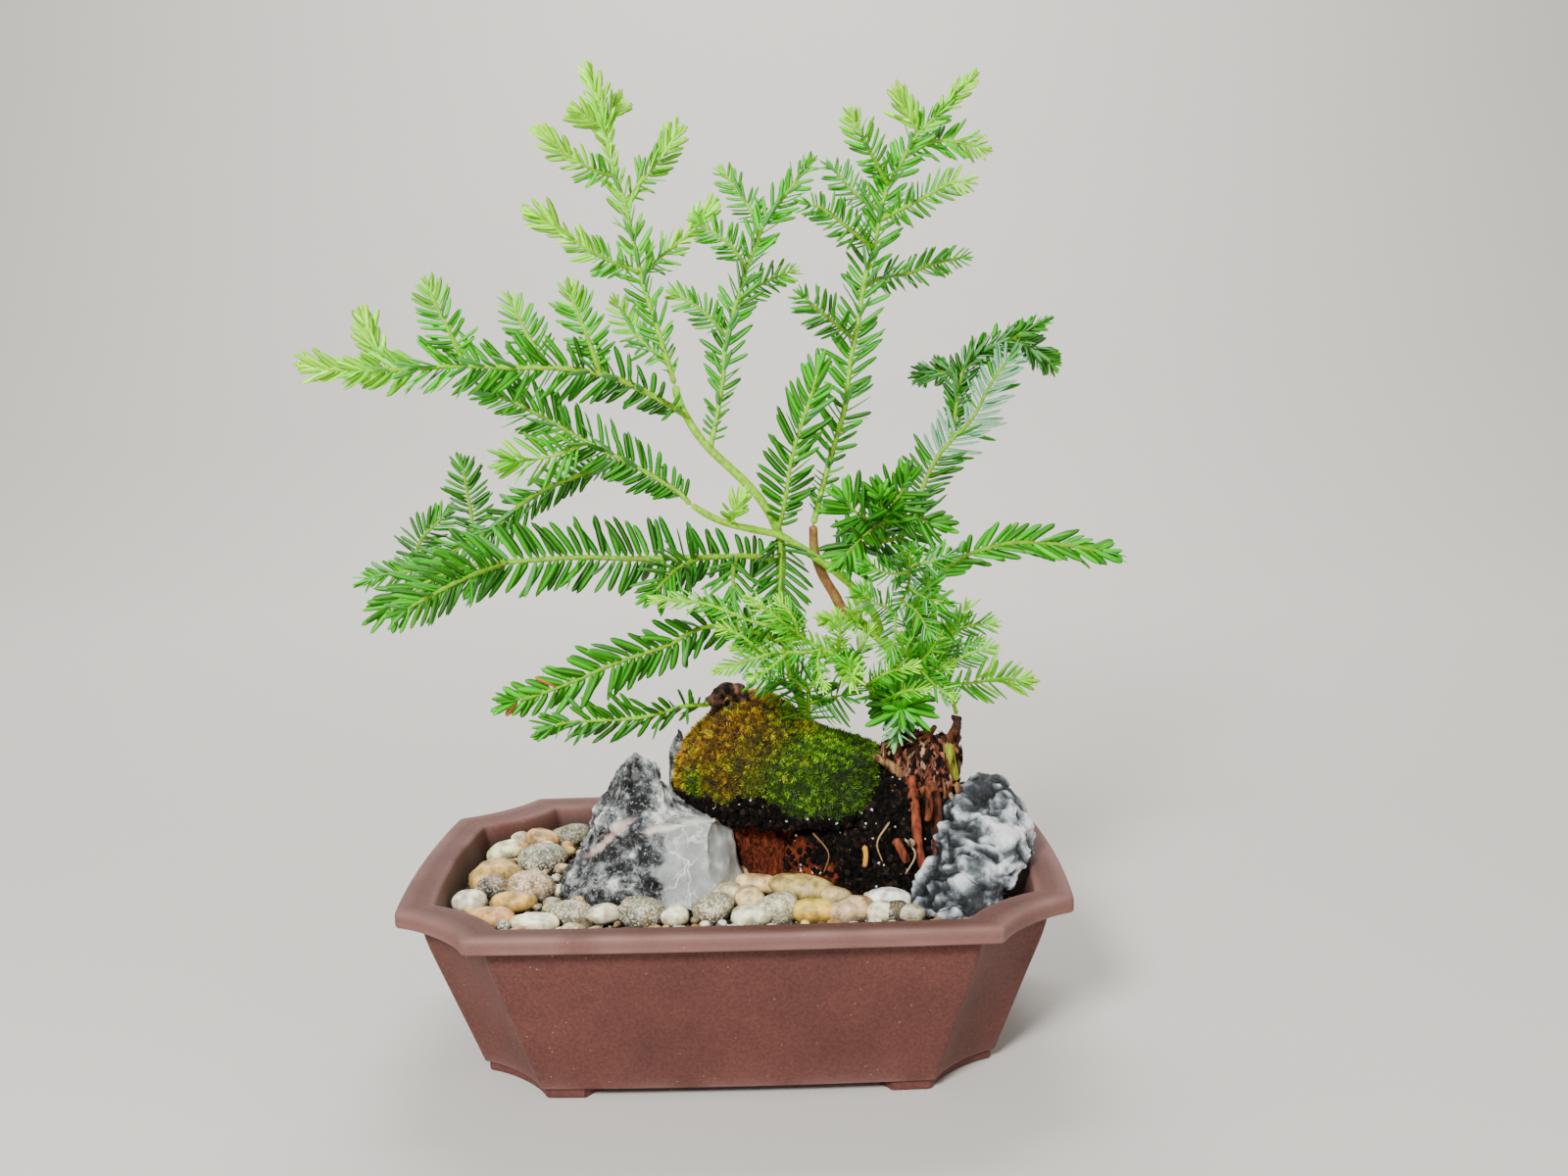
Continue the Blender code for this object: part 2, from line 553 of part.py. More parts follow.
def pot_ring(inset, height):
    """The pot's plan outline at an inset from the lip: bowed sides, and corners cut by a concave curve
    x = notch * sin^p, y = notch * cos^p measured in from the missing corner, with its tips rounded off."""
    half_x, half_y = POT_HALF_LENGTH - inset, POT_HALF_DEPTH - inset
    notch = CORNER_NOTCH - NOTCH_TAPER * inset
    straight_x, straight_y = half_x - notch, half_y - notch
    quarter = [(half_x + SIDE_BOW, 0), (half_x, straight_y - TIP_RADIUS / 2)]
    for t in np.radians((20, 36, 54, 70)):
        quarter.append((half_x - notch * math.sin(t) ** NOTCH_POWER,
                        half_y - notch * math.cos(t) ** NOTCH_POWER))
    quarter.append((straight_x - TIP_RADIUS / 2, half_y))
    top = [(0, half_y + FRONT_BOW)]
    half = quarter + top + [(-x, y) for x, y in reversed(quarter)]
    ring = half + [(x, -y) for x, y in reversed(half[1:-1])]
    return np.array([(x, y, height) for x, y in ring])


def inner_inset(height):
    """How far the pot's inner wall lies in from the lip's edge at a height."""
    share = (LIP_INNER_HEIGHT - height) / (LIP_INNER_HEIGHT - FLOOR_TOP)
    return LIP_INNER_INSET + share * (FLOOR_INSET - LIP_INNER_INSET)


def foot(sign_x, sign_y):
    """One corner foot: a band that follows the notch, with its ends cut back towards the table."""
    rings = []
    for height, trim in ((0.0, FOOT_CHAMFER), (FOOT_HEIGHT + 0.6 * MM, 0.0)):
        edges = []
        for inset in (FOOT_INSET + trim, FOOT_INSET + FOOT_WIDTH - trim):
            outline = pot_ring(inset, height)[1:7]
            start = outline[0].copy()
            start[1] = outline[1][1] - FOOT_RUN + trim
            end = outline[-1].copy()
            end[0] = outline[-2][0] - FOOT_RUN + trim
            edges.append(np.concatenate([[start], outline[1:-1], [end]]))
        band = np.concatenate([edges[0], edges[1][::-1]])
        rings.append(band * (sign_x, sign_y, 1))
    return loft(rings)


def make_pot():
    """The pot: its section carried round the plan outline, four feet added and two drain holes cut."""
    body = loft([pot_ring(inset * MM, height * MM) for inset, height in POT_PROFILE])
    pot = add_object("pot", body, "stoneware")
    combine(pot, [foot(sx, sy) for sx in (-1, 1) for sy in (-1, 1)], "UNION")
    holes = []
    for x in (-DRAIN_SPACING / 2, DRAIN_SPACING / 2):
        turns = 2 * np.pi * np.arange(12) / 12
        circle = np.stack([x + DRAIN_RADIUS * np.cos(turns), DRAIN_RADIUS * np.sin(turns)], axis=1)
        holes.append(loft([np.column_stack([circle, np.full(12, z)]) for z in (0.0, FLOOR_TOP + 2 * MM)]))
    combine(pot, holes, "DIFFERENCE")
    return pot


def make_screens():
    """Two square plastic screens with four openings, each over a drain hole."""
    cell = SCREEN_SIDE / 5
    low = FLOOR_TOP + GAP
    for name, x in (("drain_screen_left", -DRAIN_SPACING / 2), ("drain_screen_right", DRAIN_SPACING / 2)):
        work = bmesh.new()
        bmesh.ops.create_grid(work, x_segments=5, y_segments=5, size=SCREEN_SIDE / 2)
        openings = []
        for face in work.faces:
            middle = face.calc_center_median()
            if round(abs(middle.x) / cell) == 1 and round(abs(middle.y) / cell) == 1:
                openings.append(face)
        bmesh.ops.delete(work, geom=openings, context="FACES")
        raised = bmesh.ops.extrude_face_region(work, geom=work.faces[:] + work.edges[:] + work.verts[:])
        bmesh.ops.translate(work, verts=[v for v in raised["geom"] if isinstance(v, bmesh.types.BMVert)],
                            vec=(0, 0, SCREEN_THICKNESS))
        bmesh.ops.translate(work, verts=work.verts, vec=(x, 0, low))
        bmesh.ops.recalc_face_normals(work, faces=work.faces)
        mesh = bpy.data.meshes.new(name)
        work.to_mesh(mesh)
        work.free()
        mesh.materials.append(material("mesh_plastic"))
        bpy.context.scene.collection.objects.link(bpy.data.objects.new(name, mesh))


def make_soil():
    low = FLOOR_TOP + SCREEN_THICKNESS + 2 * GAP
    rings = [pot_ring(inner_inset(height) + 1.3 * GAP, height) for height in (low, SOIL_TOP)]
    add_object("soil", loft(rings), "potting_soil")


def pebble(x, y, length, width, turn, height):
    """One low pebble: a wide ring in the grit, a shoulder ring and a point on top."""
    sides = 6
    angles = 2 * np.pi * np.arange(sides) / sides
    cos, sin = math.cos(turn), math.sin(turn)
    rings = []
    for share, level in ((1.0, SOIL_TOP + GAP + 0.4 * MM), (0.86, SOIL_TOP + 0.62 * height),
                         (0.02, SOIL_TOP + height)):
        u, v = share * length / 2 * np.cos(angles), share * width / 2 * np.sin(angles)
        rings.append(np.column_stack([x + cos * u - sin * v, y + sin * u + cos * v, np.full(sides, level)]))
    return cone_top(rings)


def pebble_places():
    """The pebbles that show, then more by a seeded, jittered grid over the rest of the pot."""
    draw = random.Random(SEED)
    places = [(x * MM, y * MM, a * MM, b * MM, math.radians(turn), draw.uniform(7.5, 9.5) * MM)
              for x, y, a, b, turn in PEBBLES]
    limit = inner_inset(SOIL_TOP)
    for row, y in enumerate(np.arange(-74 * MM, 75 * MM, PEBBLE_SPACING * 0.8)):
        for x in np.arange(-108 * MM, 109 * MM, PEBBLE_SPACING):
            x_here = x + (row % 2) * PEBBLE_SPACING / 2 + draw.uniform(-2, 2) * MM
            y_here = y + draw.uniform(-2, 2) * MM
            length, width = draw.uniform(15, 21) * MM, draw.uniform(12, 16) * MM
            turn, height = draw.uniform(0, math.pi), draw.uniform(6, 9) * MM
            spare_x = POT_HALF_LENGTH - limit - abs(x_here) - length / 2
            spare_y = POT_HALF_DEPTH - limit - abs(y_here) - length / 2
            near_corner = spare_x < CORNER_NOTCH * 0.7 and spare_y < CORNER_NOTCH * 0.7
            apart = min(math.hypot(x_here - x0, y_here - y0) - a0 / 2 for x0, y0, a0, *rest in places)
            spot = np.array([[x_here, y_here, SOIL_TOP + 2 * MM]])
            buried = any(inside_lump(name, spot, 3 * MM)[0] for name in GROUND_LUMPS)
            if spare_x > 0 and spare_y > 0 and not near_corner and apart > 6.5 * MM and not buried:
                places.append((x_here, y_here, length, width, turn, height))
    return places


def make_gravel():
    low, high = SOIL_TOP + GAP, SOIL_TOP + GAP + GRIT_THICKNESS
    bed = loft([pot_ring(inner_inset(height) + 1.3 * GAP, height) for height in (low, high)])
    gravel = add_object("gravel", bed, "river_gravel")
    combine(gravel, [pebble(*place) for place in pebble_places()], "UNION")
    room = loft([pot_ring(inner_inset(height) + 1.3 * GAP, height) for height in (low - MM, low + 10 * MM)])
    combine(gravel, [room], "INTERSECT")
    cutters = [lump(name) for name in GROUND_LUMPS]
    combine(gravel, [swollen(body) for body in cutters + stump_sticks()], "DIFFERENCE")
    drop_scraps(gravel)


def stump_sticks():
    bodies = []
    for thick, thin, route in STUMP_STICKS:
        points = smooth(np.array(route) * MM, 12 * MM)
        bodies.append(tube(points, np.linspace(thick, thin, len(points)) * MM, 4))
    return bodies


def stem(name):
    slot, thick, thin, near, far, route = STEMS[name]
    sheet = np.array(route, float)
    points = smooth(slide(sheet, np.linspace(near, far, len(sheet)) * MM), 12 * MM)
    return points, np.linspace(thick, thin, len(points)) * MM


def stem_body(name):
    points, radii = stem(name)
    return tube(points, radii, 6)


def make_ground():
    """Rocks, burl, root ball, stump and moss: each is cut clear of those made before it."""
    for name, slot in ROCKS.items():
        add_object(name, lump(name), slot)
    rocks = [swollen(lump(name)) for name in ROCKS]
    stems = [swollen(stem_body(name)) for name in STEMS]
    stump = add_object("stump", lump("stump"), "stump_wood")
    combine(stump, stump_sticks(), "UNION")
    burl = add_object("burl", lump("burl"), "burl_bark")
    root_ball = add_object("root_ball", lump("root_ball"), "black_peat")
    moss = add_object("moss", lump("moss"), "moss_green")
    stump_cut = [swollen(body) for body in [lump("stump")] + stump_sticks()]
    combine(stump, rocks + stems, "DIFFERENCE")
    combine(burl, rocks + stems, "DIFFERENCE")
    combine(root_ball, rocks + stems + stump_cut + [swollen(lump("burl"))], "DIFFERENCE")
    under_moss = [swollen(lump(name)) for name in ("burl", "root_ball")]
    combine(moss, rocks + stems + stump_cut + under_moss, "DIFFERENCE")
    for cut in (stump, burl, root_ball, moss):
        drop_scraps(cut)


def closest(starts_a, ends_a, starts_b, ends_b):
    """Least distances between one segment and many, found at sixteen points along the one."""
    t = np.linspace(0, 1, 16)[:, None, None]
    points = starts_a + (ends_a - starts_a) * t
    span = ends_b - starts_b
    share = ((points - starts_b) * span).sum(-1) / np.maximum((span * span).sum(-1), 1e-12)
    near = starts_b + span * np.clip(share, 0, 1)[..., None]
    return np.linalg.norm(points - near, axis=-1).min(0)


def clear_of_tube(points, axis, girths):
    """How far points lie outside a tube of straight pieces with flat ends; less than nothing is inside."""
    starts, spans = axis[:-1], np.diff(axis, axis=0)
    lengths = np.linalg.norm(spans, axis=1)
    share = ((points[:, None] - starts) * spans).sum(-1) / lengths ** 2
    radial = np.linalg.norm(points[:, None] - starts - share[..., None] * spans, axis=-1) - girths[:-1]
    beyond = np.maximum(-share, share - 1) * lengths
    return np.where(beyond > 0, np.hypot(beyond, np.maximum(radial, 0)), radial).min()


def seat(points, girth, host):
    """The first of a stem's points, SEAT_STEP apart, from which it stays GAP outside what it grows from."""
    along, facing, sideways = frames(points)
    turns = np.linspace(0, 2 * np.pi, 8, endpoint=False)[:, None]
    for first in range(len(points) // 2):
        discs = [points[k] + reach * (np.cos(turns) * sideways[k] + np.sin(turns) * facing[k])
                 for k in (first, first + 5, first + 15, first + 30) if k < len(points)
                 for reach in (0, girth / 2, girth)]
        if min(clear_of_tube(np.concatenate(discs), axis, girths) for axis, girths in host) > GAP:
            return first
    return 0


def section_swell(spray):
    """How far a stem's corners stand out, in stated radii: a triangle has to be larger than a square."""
    return 1.25 if spray.habit == "flat" else 1.0


def lay_out_stems():
    """Every stem's axis and radii, {node: [(points, radii), ...]}. A twig starts at what it grows from."""
    axes = {name: [stem(name)] for name in STEMS}
    for name, spray in SPRAYS.items():
        axes[name] = []
        for index, twig in enumerate(spray.twigs):
            sheet = np.array(twig.route, float)
            first = slide(sheet[:1], [0.0])[0]
            parents = axes[spray.grows_from] if index == 0 else axes[name]
            sight = unit(first - EYE)
            options = []
            for axis, _ in parents:
                fine = resample(axis, 1 * MM)
                away = fine - EYE
                miss = np.linalg.norm(away - (away * sight).sum(1, keepdims=True) * sight, axis=1)
                best = int(miss.argmin())
                options.append((miss[best], *fine[best]))
            start = np.array(min(options)[1:])
            depths = np.linspace(start[1], twig.depth * MM, len(sheet) + 1)[1:]
            route = np.concatenate([[start], slide(sheet[1:], depths[1:])])
            radius = spray.radius * MM * (1 if index == 0 else 0.8)
            points = smooth(route, SEAT_STEP)
            if len(sheet) > 3 and spray.habit != "bare":
                points = points[:len(points) - round(END_NEEDLES / SEAT_STEP)]
            if index == 0:
                thickness = 1 if spray.grows_from in STEMS else section_swell(SPRAYS[spray.grows_from])
                host = [(axis, girth * thickness) for axis, girth in parents]
                points = points[seat(points, radius * section_swell(spray), host):]
            step = {"star": ROSETTE_NEEDLE_WIDTH, "bare": BARE_STEM_STEP}.get(spray.habit, NEEDLE_WIDTH)
            points = resample(points, step)
            axes[name].append((points, np.linspace(radius, TIP_SHARE * radius, len(points))))
    return axes


def leafy_rings(spray, twig, points, radii):
    """The rings of a stem, one needle's width apart, and the faces that carry its needles: (face, turn).

    A two-ranked stem is a triangle in section, and its two front faces carry the needles in turn. Any other
    is a square whose right, left, front and back faces carry them in turn."""
    along, facing, sideways = frames(points)
    roll = math.radians(twig.roll)
    if spray.habit == "flat":
        corners, carriers = (90, 210, 330), ((2, 0), (0, 180))
    else:
        corners, carriers = (45, 135, 225, 315), ((3, 0), (1, 180), (0, 90), (2, 270))
    angles = np.radians(corners) + roll
    rings = [
        centre + corner * (np.cos(angles)[:, None] * side + np.sin(angles)[:, None] * face)
        for centre, corner, side, face in zip(points, section_swell(spray) * radii, sideways, facing)]
    return rings, carriers, along, facing, sideways


def wanted_needles(spray, twig, rings, carriers, headings):
    """The needles that a stem would like, the last one at its end: (ring, face, root, directions, length)."""
    if spray.habit == "bare":
        return []
    along, facing, sideways = headings
    roll = math.radians(twig.roll)
    last = len(rings) - 1
    first = 0 if spray.habit == "star" else min(round(BARE_FOOT / NEEDLE_WIDTH), last // 4)
    wanted = []
    for k in range(first, last):
        share = k / last
        face, turn = carriers[k % len(carriers)]
        around = [face, (face + 1) % len(rings[0])]
        root = (rings[k][around].sum(0) + rings[k + 1][around].sum(0)) / 4
        foot_spread, tip_spread = SPREAD[spray.habit]
        spread = math.radians(foot_spread + (tip_spread - foot_spread) * share)
        fullness = math.sin(math.pi * min(1, 0.18 + share * 0.75))
        reach = spray.needle * MM * (SHORTEST_NEEDLE + (1 - SHORTEST_NEEDLE) * fullness)
        options = []
        for tilt in TILTS:
            turned = roll + math.radians(turn + tilt)
            out = math.cos(turned) * sideways[k] + math.sin(turned) * facing[k]
            options.append(unit(math.cos(spread) * along[k] + math.sin(spread) * out))
        wanted.append((k, face, root, options, reach))
    wanted.append((last, None, rings[-1].mean(0), [along[-1]], 0.8 * spray.needle * MM))
    return wanted


def leafy_stem(rings, needles):
    """A closed stem through the rings. Each needle draws one of its faces, or its end, out to a point."""
    sides = len(rings[0])
    points = list(np.concatenate(rings))
    faces = [tuple(reversed(range(sides)))]
    tips = {(ring, face): tip for ring, face, tip in needles}

    def draw_out(rim, tip):
        points.append(tip)
        faces.extend((rim[i], rim[(i + 1) % len(rim)], len(points) - 1) for i in range(len(rim)))

    for k in range(len(rings) - 1):
        for i in range(sides):
            low, next_low = k * sides + i, k * sides + (i + 1) % sides
            rim = (low, next_low, next_low + sides, low + sides)
            if (k, i) in tips:
                draw_out(rim, tips[k, i])
            else:
                faces += [(rim[0], rim[1], rim[2]), (rim[0], rim[2], rim[3])]
    end = tuple(range((len(rings) - 1) * sides, len(rings) * sides))
    if (len(rings) - 1, None) in tips:
        draw_out(end, tips[len(rings) - 1, None])
    else:
        faces.append(end)
    return np.array(points), faces


def make_sprays(axes):
    """Each leafy stem as one solid. A needle that would touch another node is turned aside, or left off."""
    owners, starts, ends, girths = [], [], [], []
    for name, twigs in axes.items():
        for points, radii in twigs:
            coarse = points[::2] if name in SPRAYS else points
            owners += [name] * (len(coarse) - 1)
            starts += list(coarse[:-1])
            ends += list(coarse[1:])
            girths += [radii[0]] * (len(coarse) - 1)
    solid_ground = ("moss", "stump", *ROCKS)
    for name, spray in SPRAYS.items():
        others = np.array([owner != name for owner in owners])
        a, b, girth = np.array(starts)[others], np.array(ends)[others], np.array(girths)[others]
        bodies = []
        for twig, (points, radii) in zip(spray.twigs, axes[name]):
            rings, carriers, *headings = leafy_rings(spray, twig, points, radii)
            kept = []
            for ring, face, root, options, reach in wanted_needles(spray, twig, rings, carriers, headings):
                for direction in options:
                    tip = root + direction * reach
                    samples = root + np.outer(np.linspace(0.2, 1, 5), tip - root)
                    if any(inside_lump(lump_name, samples, CLEARANCE).any() for lump_name in solid_ground):
                        continue
                    if (closest(root, tip, a, b) - girth).min() > CLEARANCE:
                        kept.append((ring, face, tip))
                        owners.append(name)
                        starts.append(root)
                        ends.append(tip)
                        girths.append(NEEDLE_GIRTH)
                        break
            bodies.append(leafy_stem(rings, kept))
        made = add_object(name, bodies[0], spray.slot)
        combine(made, bodies[1:], "UNION")


def finish():
    """Parents every node to one empty and shades the round pieces smooth."""
    root = bpy.data.objects.new("bonsai", None)
    bpy.context.scene.collection.objects.link(root)
    for made in [one for one in bpy.context.scene.collection.objects if one.type == "MESH"]:
        made.parent = root
        if made.name in STEMS or made.name in ("pot", "moss", "soil"):
            made.data.shade_smooth()
            made.data.set_sharp_from_angle(angle=math.radians(40))


def main():
    for old in list(bpy.data.objects):
        bpy.data.objects.remove(old)
    make_pot()
    make_screens()
    make_soil()
    make_gravel()
    make_ground()
    for name in STEMS:
        add_object(name, stem_body(name), STEMS[name][0])
    make_sprays(lay_out_stems())
    finish()


main()
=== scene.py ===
"""Dresses a potted coast redwood bonsai with fine needles, bark, moss, stones, pebbles and fired clay.

The file is laid out as an add-on and run as a script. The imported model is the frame: every piece here is
worked out in metres in its coordinates and stands for one of its nodes.
"""

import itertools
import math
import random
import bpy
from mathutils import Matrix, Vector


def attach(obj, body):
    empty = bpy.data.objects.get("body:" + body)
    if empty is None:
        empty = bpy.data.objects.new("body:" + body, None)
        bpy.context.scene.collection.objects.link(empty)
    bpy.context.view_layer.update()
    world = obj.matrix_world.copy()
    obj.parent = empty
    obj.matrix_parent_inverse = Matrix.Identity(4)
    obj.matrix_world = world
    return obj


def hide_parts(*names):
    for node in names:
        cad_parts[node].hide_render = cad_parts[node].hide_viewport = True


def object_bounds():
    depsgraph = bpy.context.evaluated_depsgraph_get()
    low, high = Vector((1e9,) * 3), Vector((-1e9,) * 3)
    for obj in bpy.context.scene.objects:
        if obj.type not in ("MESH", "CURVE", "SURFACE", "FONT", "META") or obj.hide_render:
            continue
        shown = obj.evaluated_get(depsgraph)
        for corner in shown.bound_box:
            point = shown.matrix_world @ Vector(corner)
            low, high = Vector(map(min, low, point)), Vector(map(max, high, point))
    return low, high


bl_info = {
    "name": "Redwood bonsai",
    "version": (1, 0, 0),
    "blender": (4, 5, 0),
    "location": "3D View > Sidebar > Bonsai",
    "description": "Builds the pot, stones, moss, bark, stems and needles of a coast redwood bonsai, and "
                   "a studio",
    "category": "Object",
}

from collections import namedtuple

import bpy
import numpy as np
from bpy.props import FloatProperty, FloatVectorProperty, IntProperty, PointerProperty
from mathutils import Matrix, Vector

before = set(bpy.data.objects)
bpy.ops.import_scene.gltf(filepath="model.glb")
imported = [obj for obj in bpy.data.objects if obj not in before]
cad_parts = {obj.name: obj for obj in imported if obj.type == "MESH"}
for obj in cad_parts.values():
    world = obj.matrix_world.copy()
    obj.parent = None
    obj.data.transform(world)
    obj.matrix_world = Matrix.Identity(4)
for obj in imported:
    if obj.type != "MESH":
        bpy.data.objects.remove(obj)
CAD_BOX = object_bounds()

MM = 0.001

# Pot, as in the frame.
POT_HALF_LENGTH = 125 * MM
POT_HALF_DEPTH = 92.5 * MM
CORNER_NOTCH = 30 * MM
NOTCH_TAPER = 0.17
NOTCH_POWER = 1.5
SIDE_BOW = 3 * MM
FRONT_BOW = 1.5 * MM
LIP_INNER_INSET = 13 * MM
LIP_INNER_HEIGHT = 69.6 * MM
FLOOR_INSET = 31 * MM
FLOOR_TOP = 10.2 * MM
DRAIN_RADIUS = 8 * MM
DRAIN_SPACING = 90 * MM
GRAVEL_BED = 60 * MM
PEBBLE_TOP = 70 * MM
# Points of a quarter of the plan: on the side, round the notch and along the front; and a foot's share.
SIDE_POINTS, NOTCH_POINTS, FRONT_POINTS = 38, 24, 58
FOOT_SIDE_POINTS, FOOT_FRONT_POINTS = 10, 12

# The pot's section with its roundings: (inset from the lip's edge, height, wear) in millimetres and 0 to 1; the
# third column marks wear on the rounded edges and paints a highlight there.
POT_SECTION = (
    (27.6, 4.2, 0), (27.0, 4.25, .3), (26.5, 4.5, .7), (26.2, 5.0, .6), (26.0, 5.8, .3), (25.0, 9, .1),
    (22.0, 18.3, 0), (19.0, 27.6, 0), (16.0, 36.9, 0), (12.4, 48, 0), (10.3, 54.6, 0), (9.0, 59.4, 0),
    (8.45, 62.4, 0), (8.2, 64.4, 0), (7.9, 65.5, 0), (7.2, 66.05, 0), (6.2, 66.2, 0), (3, 66.2, 0),
    (1.2, 66.25, .2), (0.5, 66.5, .5), (0.12, 67.0, .8), (0, 67.7, .6), (0, 69.4, .3), (0, 71.0, .6),
    (0.15, 71.7, .9), (0.55, 72.25, 1), (1.3, 72.55, .9), (2.3, 72.58, .5), (6, 72.35, .2), (10.2, 72.05, .3),
    (11.6, 71.85, .7), (12.4, 71.4, 1), (12.85, 70.7, .8), (13.05, 69.6, .4), (14.6, 64.5, .1), (16.6, 58, 0),
    (22, 39.9, 0), (30.0, 13.5, 0), (31.2, 11.2, 0), (33, 10.3, 0), (35, 10.2, 0))

# The tree was drawn as it looks from EYE: points are (x, z) in millimetres on an upright sheet through the
# pot's middle, and a depth slides them along the line of sight.
EYE = np.array([16.7, -617.4, 264.5]) * MM

# Ring levels of the lumps: (height, left, right, front, back) in millimetres, from the ground upwards.
Lump = namedtuple("Lump", "levels sides power rough seed")
LUMPS = {
    "rock_left": Lump((
        (58.35, -69, -1, -34, 12), (67, -72, 4, -34, 12), (75, -64, 5, -32, 11), (86, -61, 3, -29, 9),
        (92, -60, -2, -27, 7), (96, -59, -20, -25, 4), (104, -54, -27, -22, 1), (112, -47, -30, -19, -3),
        (119.5, -40, -37, -14, -9)), 12, 2.3, 0.1, 3),
    "rock_sliver": Lump((
        (58.35, -31, -21, 15, 26), (90, -29, -20, 15, 26), (108, -28, -20.5, 16, 24),
        (119, -25.5, -22, 18, 21)),
        6, 2.3, 0.08, 5),
    "rock_right": Lump((
        (58.35, 66, 100, -54, -8), (66, 65, 109, -53, 2), (73.3, 70, 111, -45, 10),
        (75.5, 72, 118, -42, 12),
        (83, 77, 119, -34, 14), (91, 82, 117, -26, 15), (98, 88, 112, -18, 12), (103, 93, 107, -8, 6)),
        11, 2.2, 0.1, 8),
    "burl": Lump((
        (58.35, 2, 31, -13, 33), (70, -1, 33, -14, 36), (84, -11, 34, -14, 37), (96, -18, 35, -16, 36),
        (108, -20, 35, -17, 34), (119, -14, 31, -12, 28), (126, -5, 21, -5, 20), (130, 3, 13, 2, 12)),
        12, 2.1, 0.05, 13),
    "root_ball": Lump((
        (58.35, 12, 85, -24, 46), (70, 12, 87, -25, 47), (84, 14, 87, -23, 45), (95, 16, 83, -18, 40),
        (103, 22, 76, -9, 32), (107, 32, 66, 0, 22)), 14, 2.3, 0.05, 17),
    "moss": Lump((
        (89.5, -12, 57, -26, 45), (98, -24, 60, -28, 45), (108, -25, 59.5, -27, 43),
        (114, -22, 55, -25, 40),
        (120, -18, 37, -22, 36), (127, -12, 28, -17, 30), (133, -4, 20, -9, 22), (137, 3, 13, -1, 12)),
        14, 2.2, 0.05, 21),
    "stump": Lump((
        (92, 64, 88, -6, 26), (101, 62, 91, -8, 28), (110, 59, 91, -6, 24), (116, 62, 87, -2, 18),
        (118.5, 67, 80, 2, 12)), 9, 2.2, 0.1, 27),
}

# The lumps that stand on the gravel.
STANDING = ("rock_left", "rock_sliver", "rock_right", "burl", "root_ball")

# Bark strips, sticks and roots of the stump: (thick radius, thin radius, tint, points (x, y, z)), in
# millimetres.
STUMP_STICKS = (
    (2.7, 2.2, "7E4A36", ((77, -2, 110), (79, -11, 96), (80, -14, 82), (80, -17, 68), (79, -16, 59.5))),
    (2.6, 1.6, "A9583C", ((70, -4, 104), (71, -14, 92), (72, -19, 78), (75, -21, 66))),
    (2.6, 1.5, "8A5236", ((80, 4, 106), (85, 4, 114), (89, 3, 122))),
    (2.8, 1.2, "C79A6B", ((67, -2, 104), (61, -6, 110), (55, -8, 114))),
    (2.4, 1.0, "8A5236", ((68, 2, 108), (64, -1, 115), (61, -3, 121))),
    (2.2, 1.0, "9C6542", ((75, 4, 110), (77, 3, 117), (81, 0, 124))),
    (1.0, 0.7, "D9C79E", ((84, -4, 100), (87.5, -8, 93), (86.5, -10, 84), (84, -12, 75))),
    (2.6, 1.2, "7A4A30", ((84, 16, 102), (89, 20, 108), (92, 24, 114))),
    (2.4, 1.1, "8A5236", ((74, 22, 104), (72, 28, 110), (69, 30, 117))))

# Woody stems: (thick radius, thin radius, start depth, end depth, sheet points).
STEMS = {
    "trunk_left": (2.3, 1.6, 5, 3,
                   ((33, 111), (31, 122), (28, 132), (24, 144), (22, 155), (20, 168), (19.5, 180),
                    (20, 200),
                    (14, 214), (6, 224), (-9, 239), (-17.5, 253), (-20, 262))),
    "trunk_right": (3.0, 1.8, 8, 4,
                    ((70, 109), (69.5, 118), (68, 130), (66, 147), (62, 157), (54, 164), (45, 171),
                     (41, 178),
                     (36.5, 186), (33.5, 195), (33, 206))),
    "trunk_stub": (2.6, 2.0, 12, 12, ((86, 109), (88, 118), (89.5, 128))),
    "dead_stub": (3.4, 2.8, 2, -4, ((8, 129), (4, 137), (-3, 140.5), (-10, 134.5))),
}

Twig = namedtuple("Twig", "depth roll route")
Spray = namedtuple("Spray", "slot grows_from habit needle radius twigs")


def flat(slot, grows_from, needle, radius, *twigs):
    """A spray whose needles lie in two ranks."""
    return Spray(slot, grows_from, "flat", needle, radius, [Twig(*twig) for twig in twigs])


def round_shoot(slot, grows_from, needle, radius, *twigs):
    """An upright shoot with needles all round its stem."""
    return Spray(slot, grows_from, "round", needle, radius, [Twig(*twig) for twig in twigs])


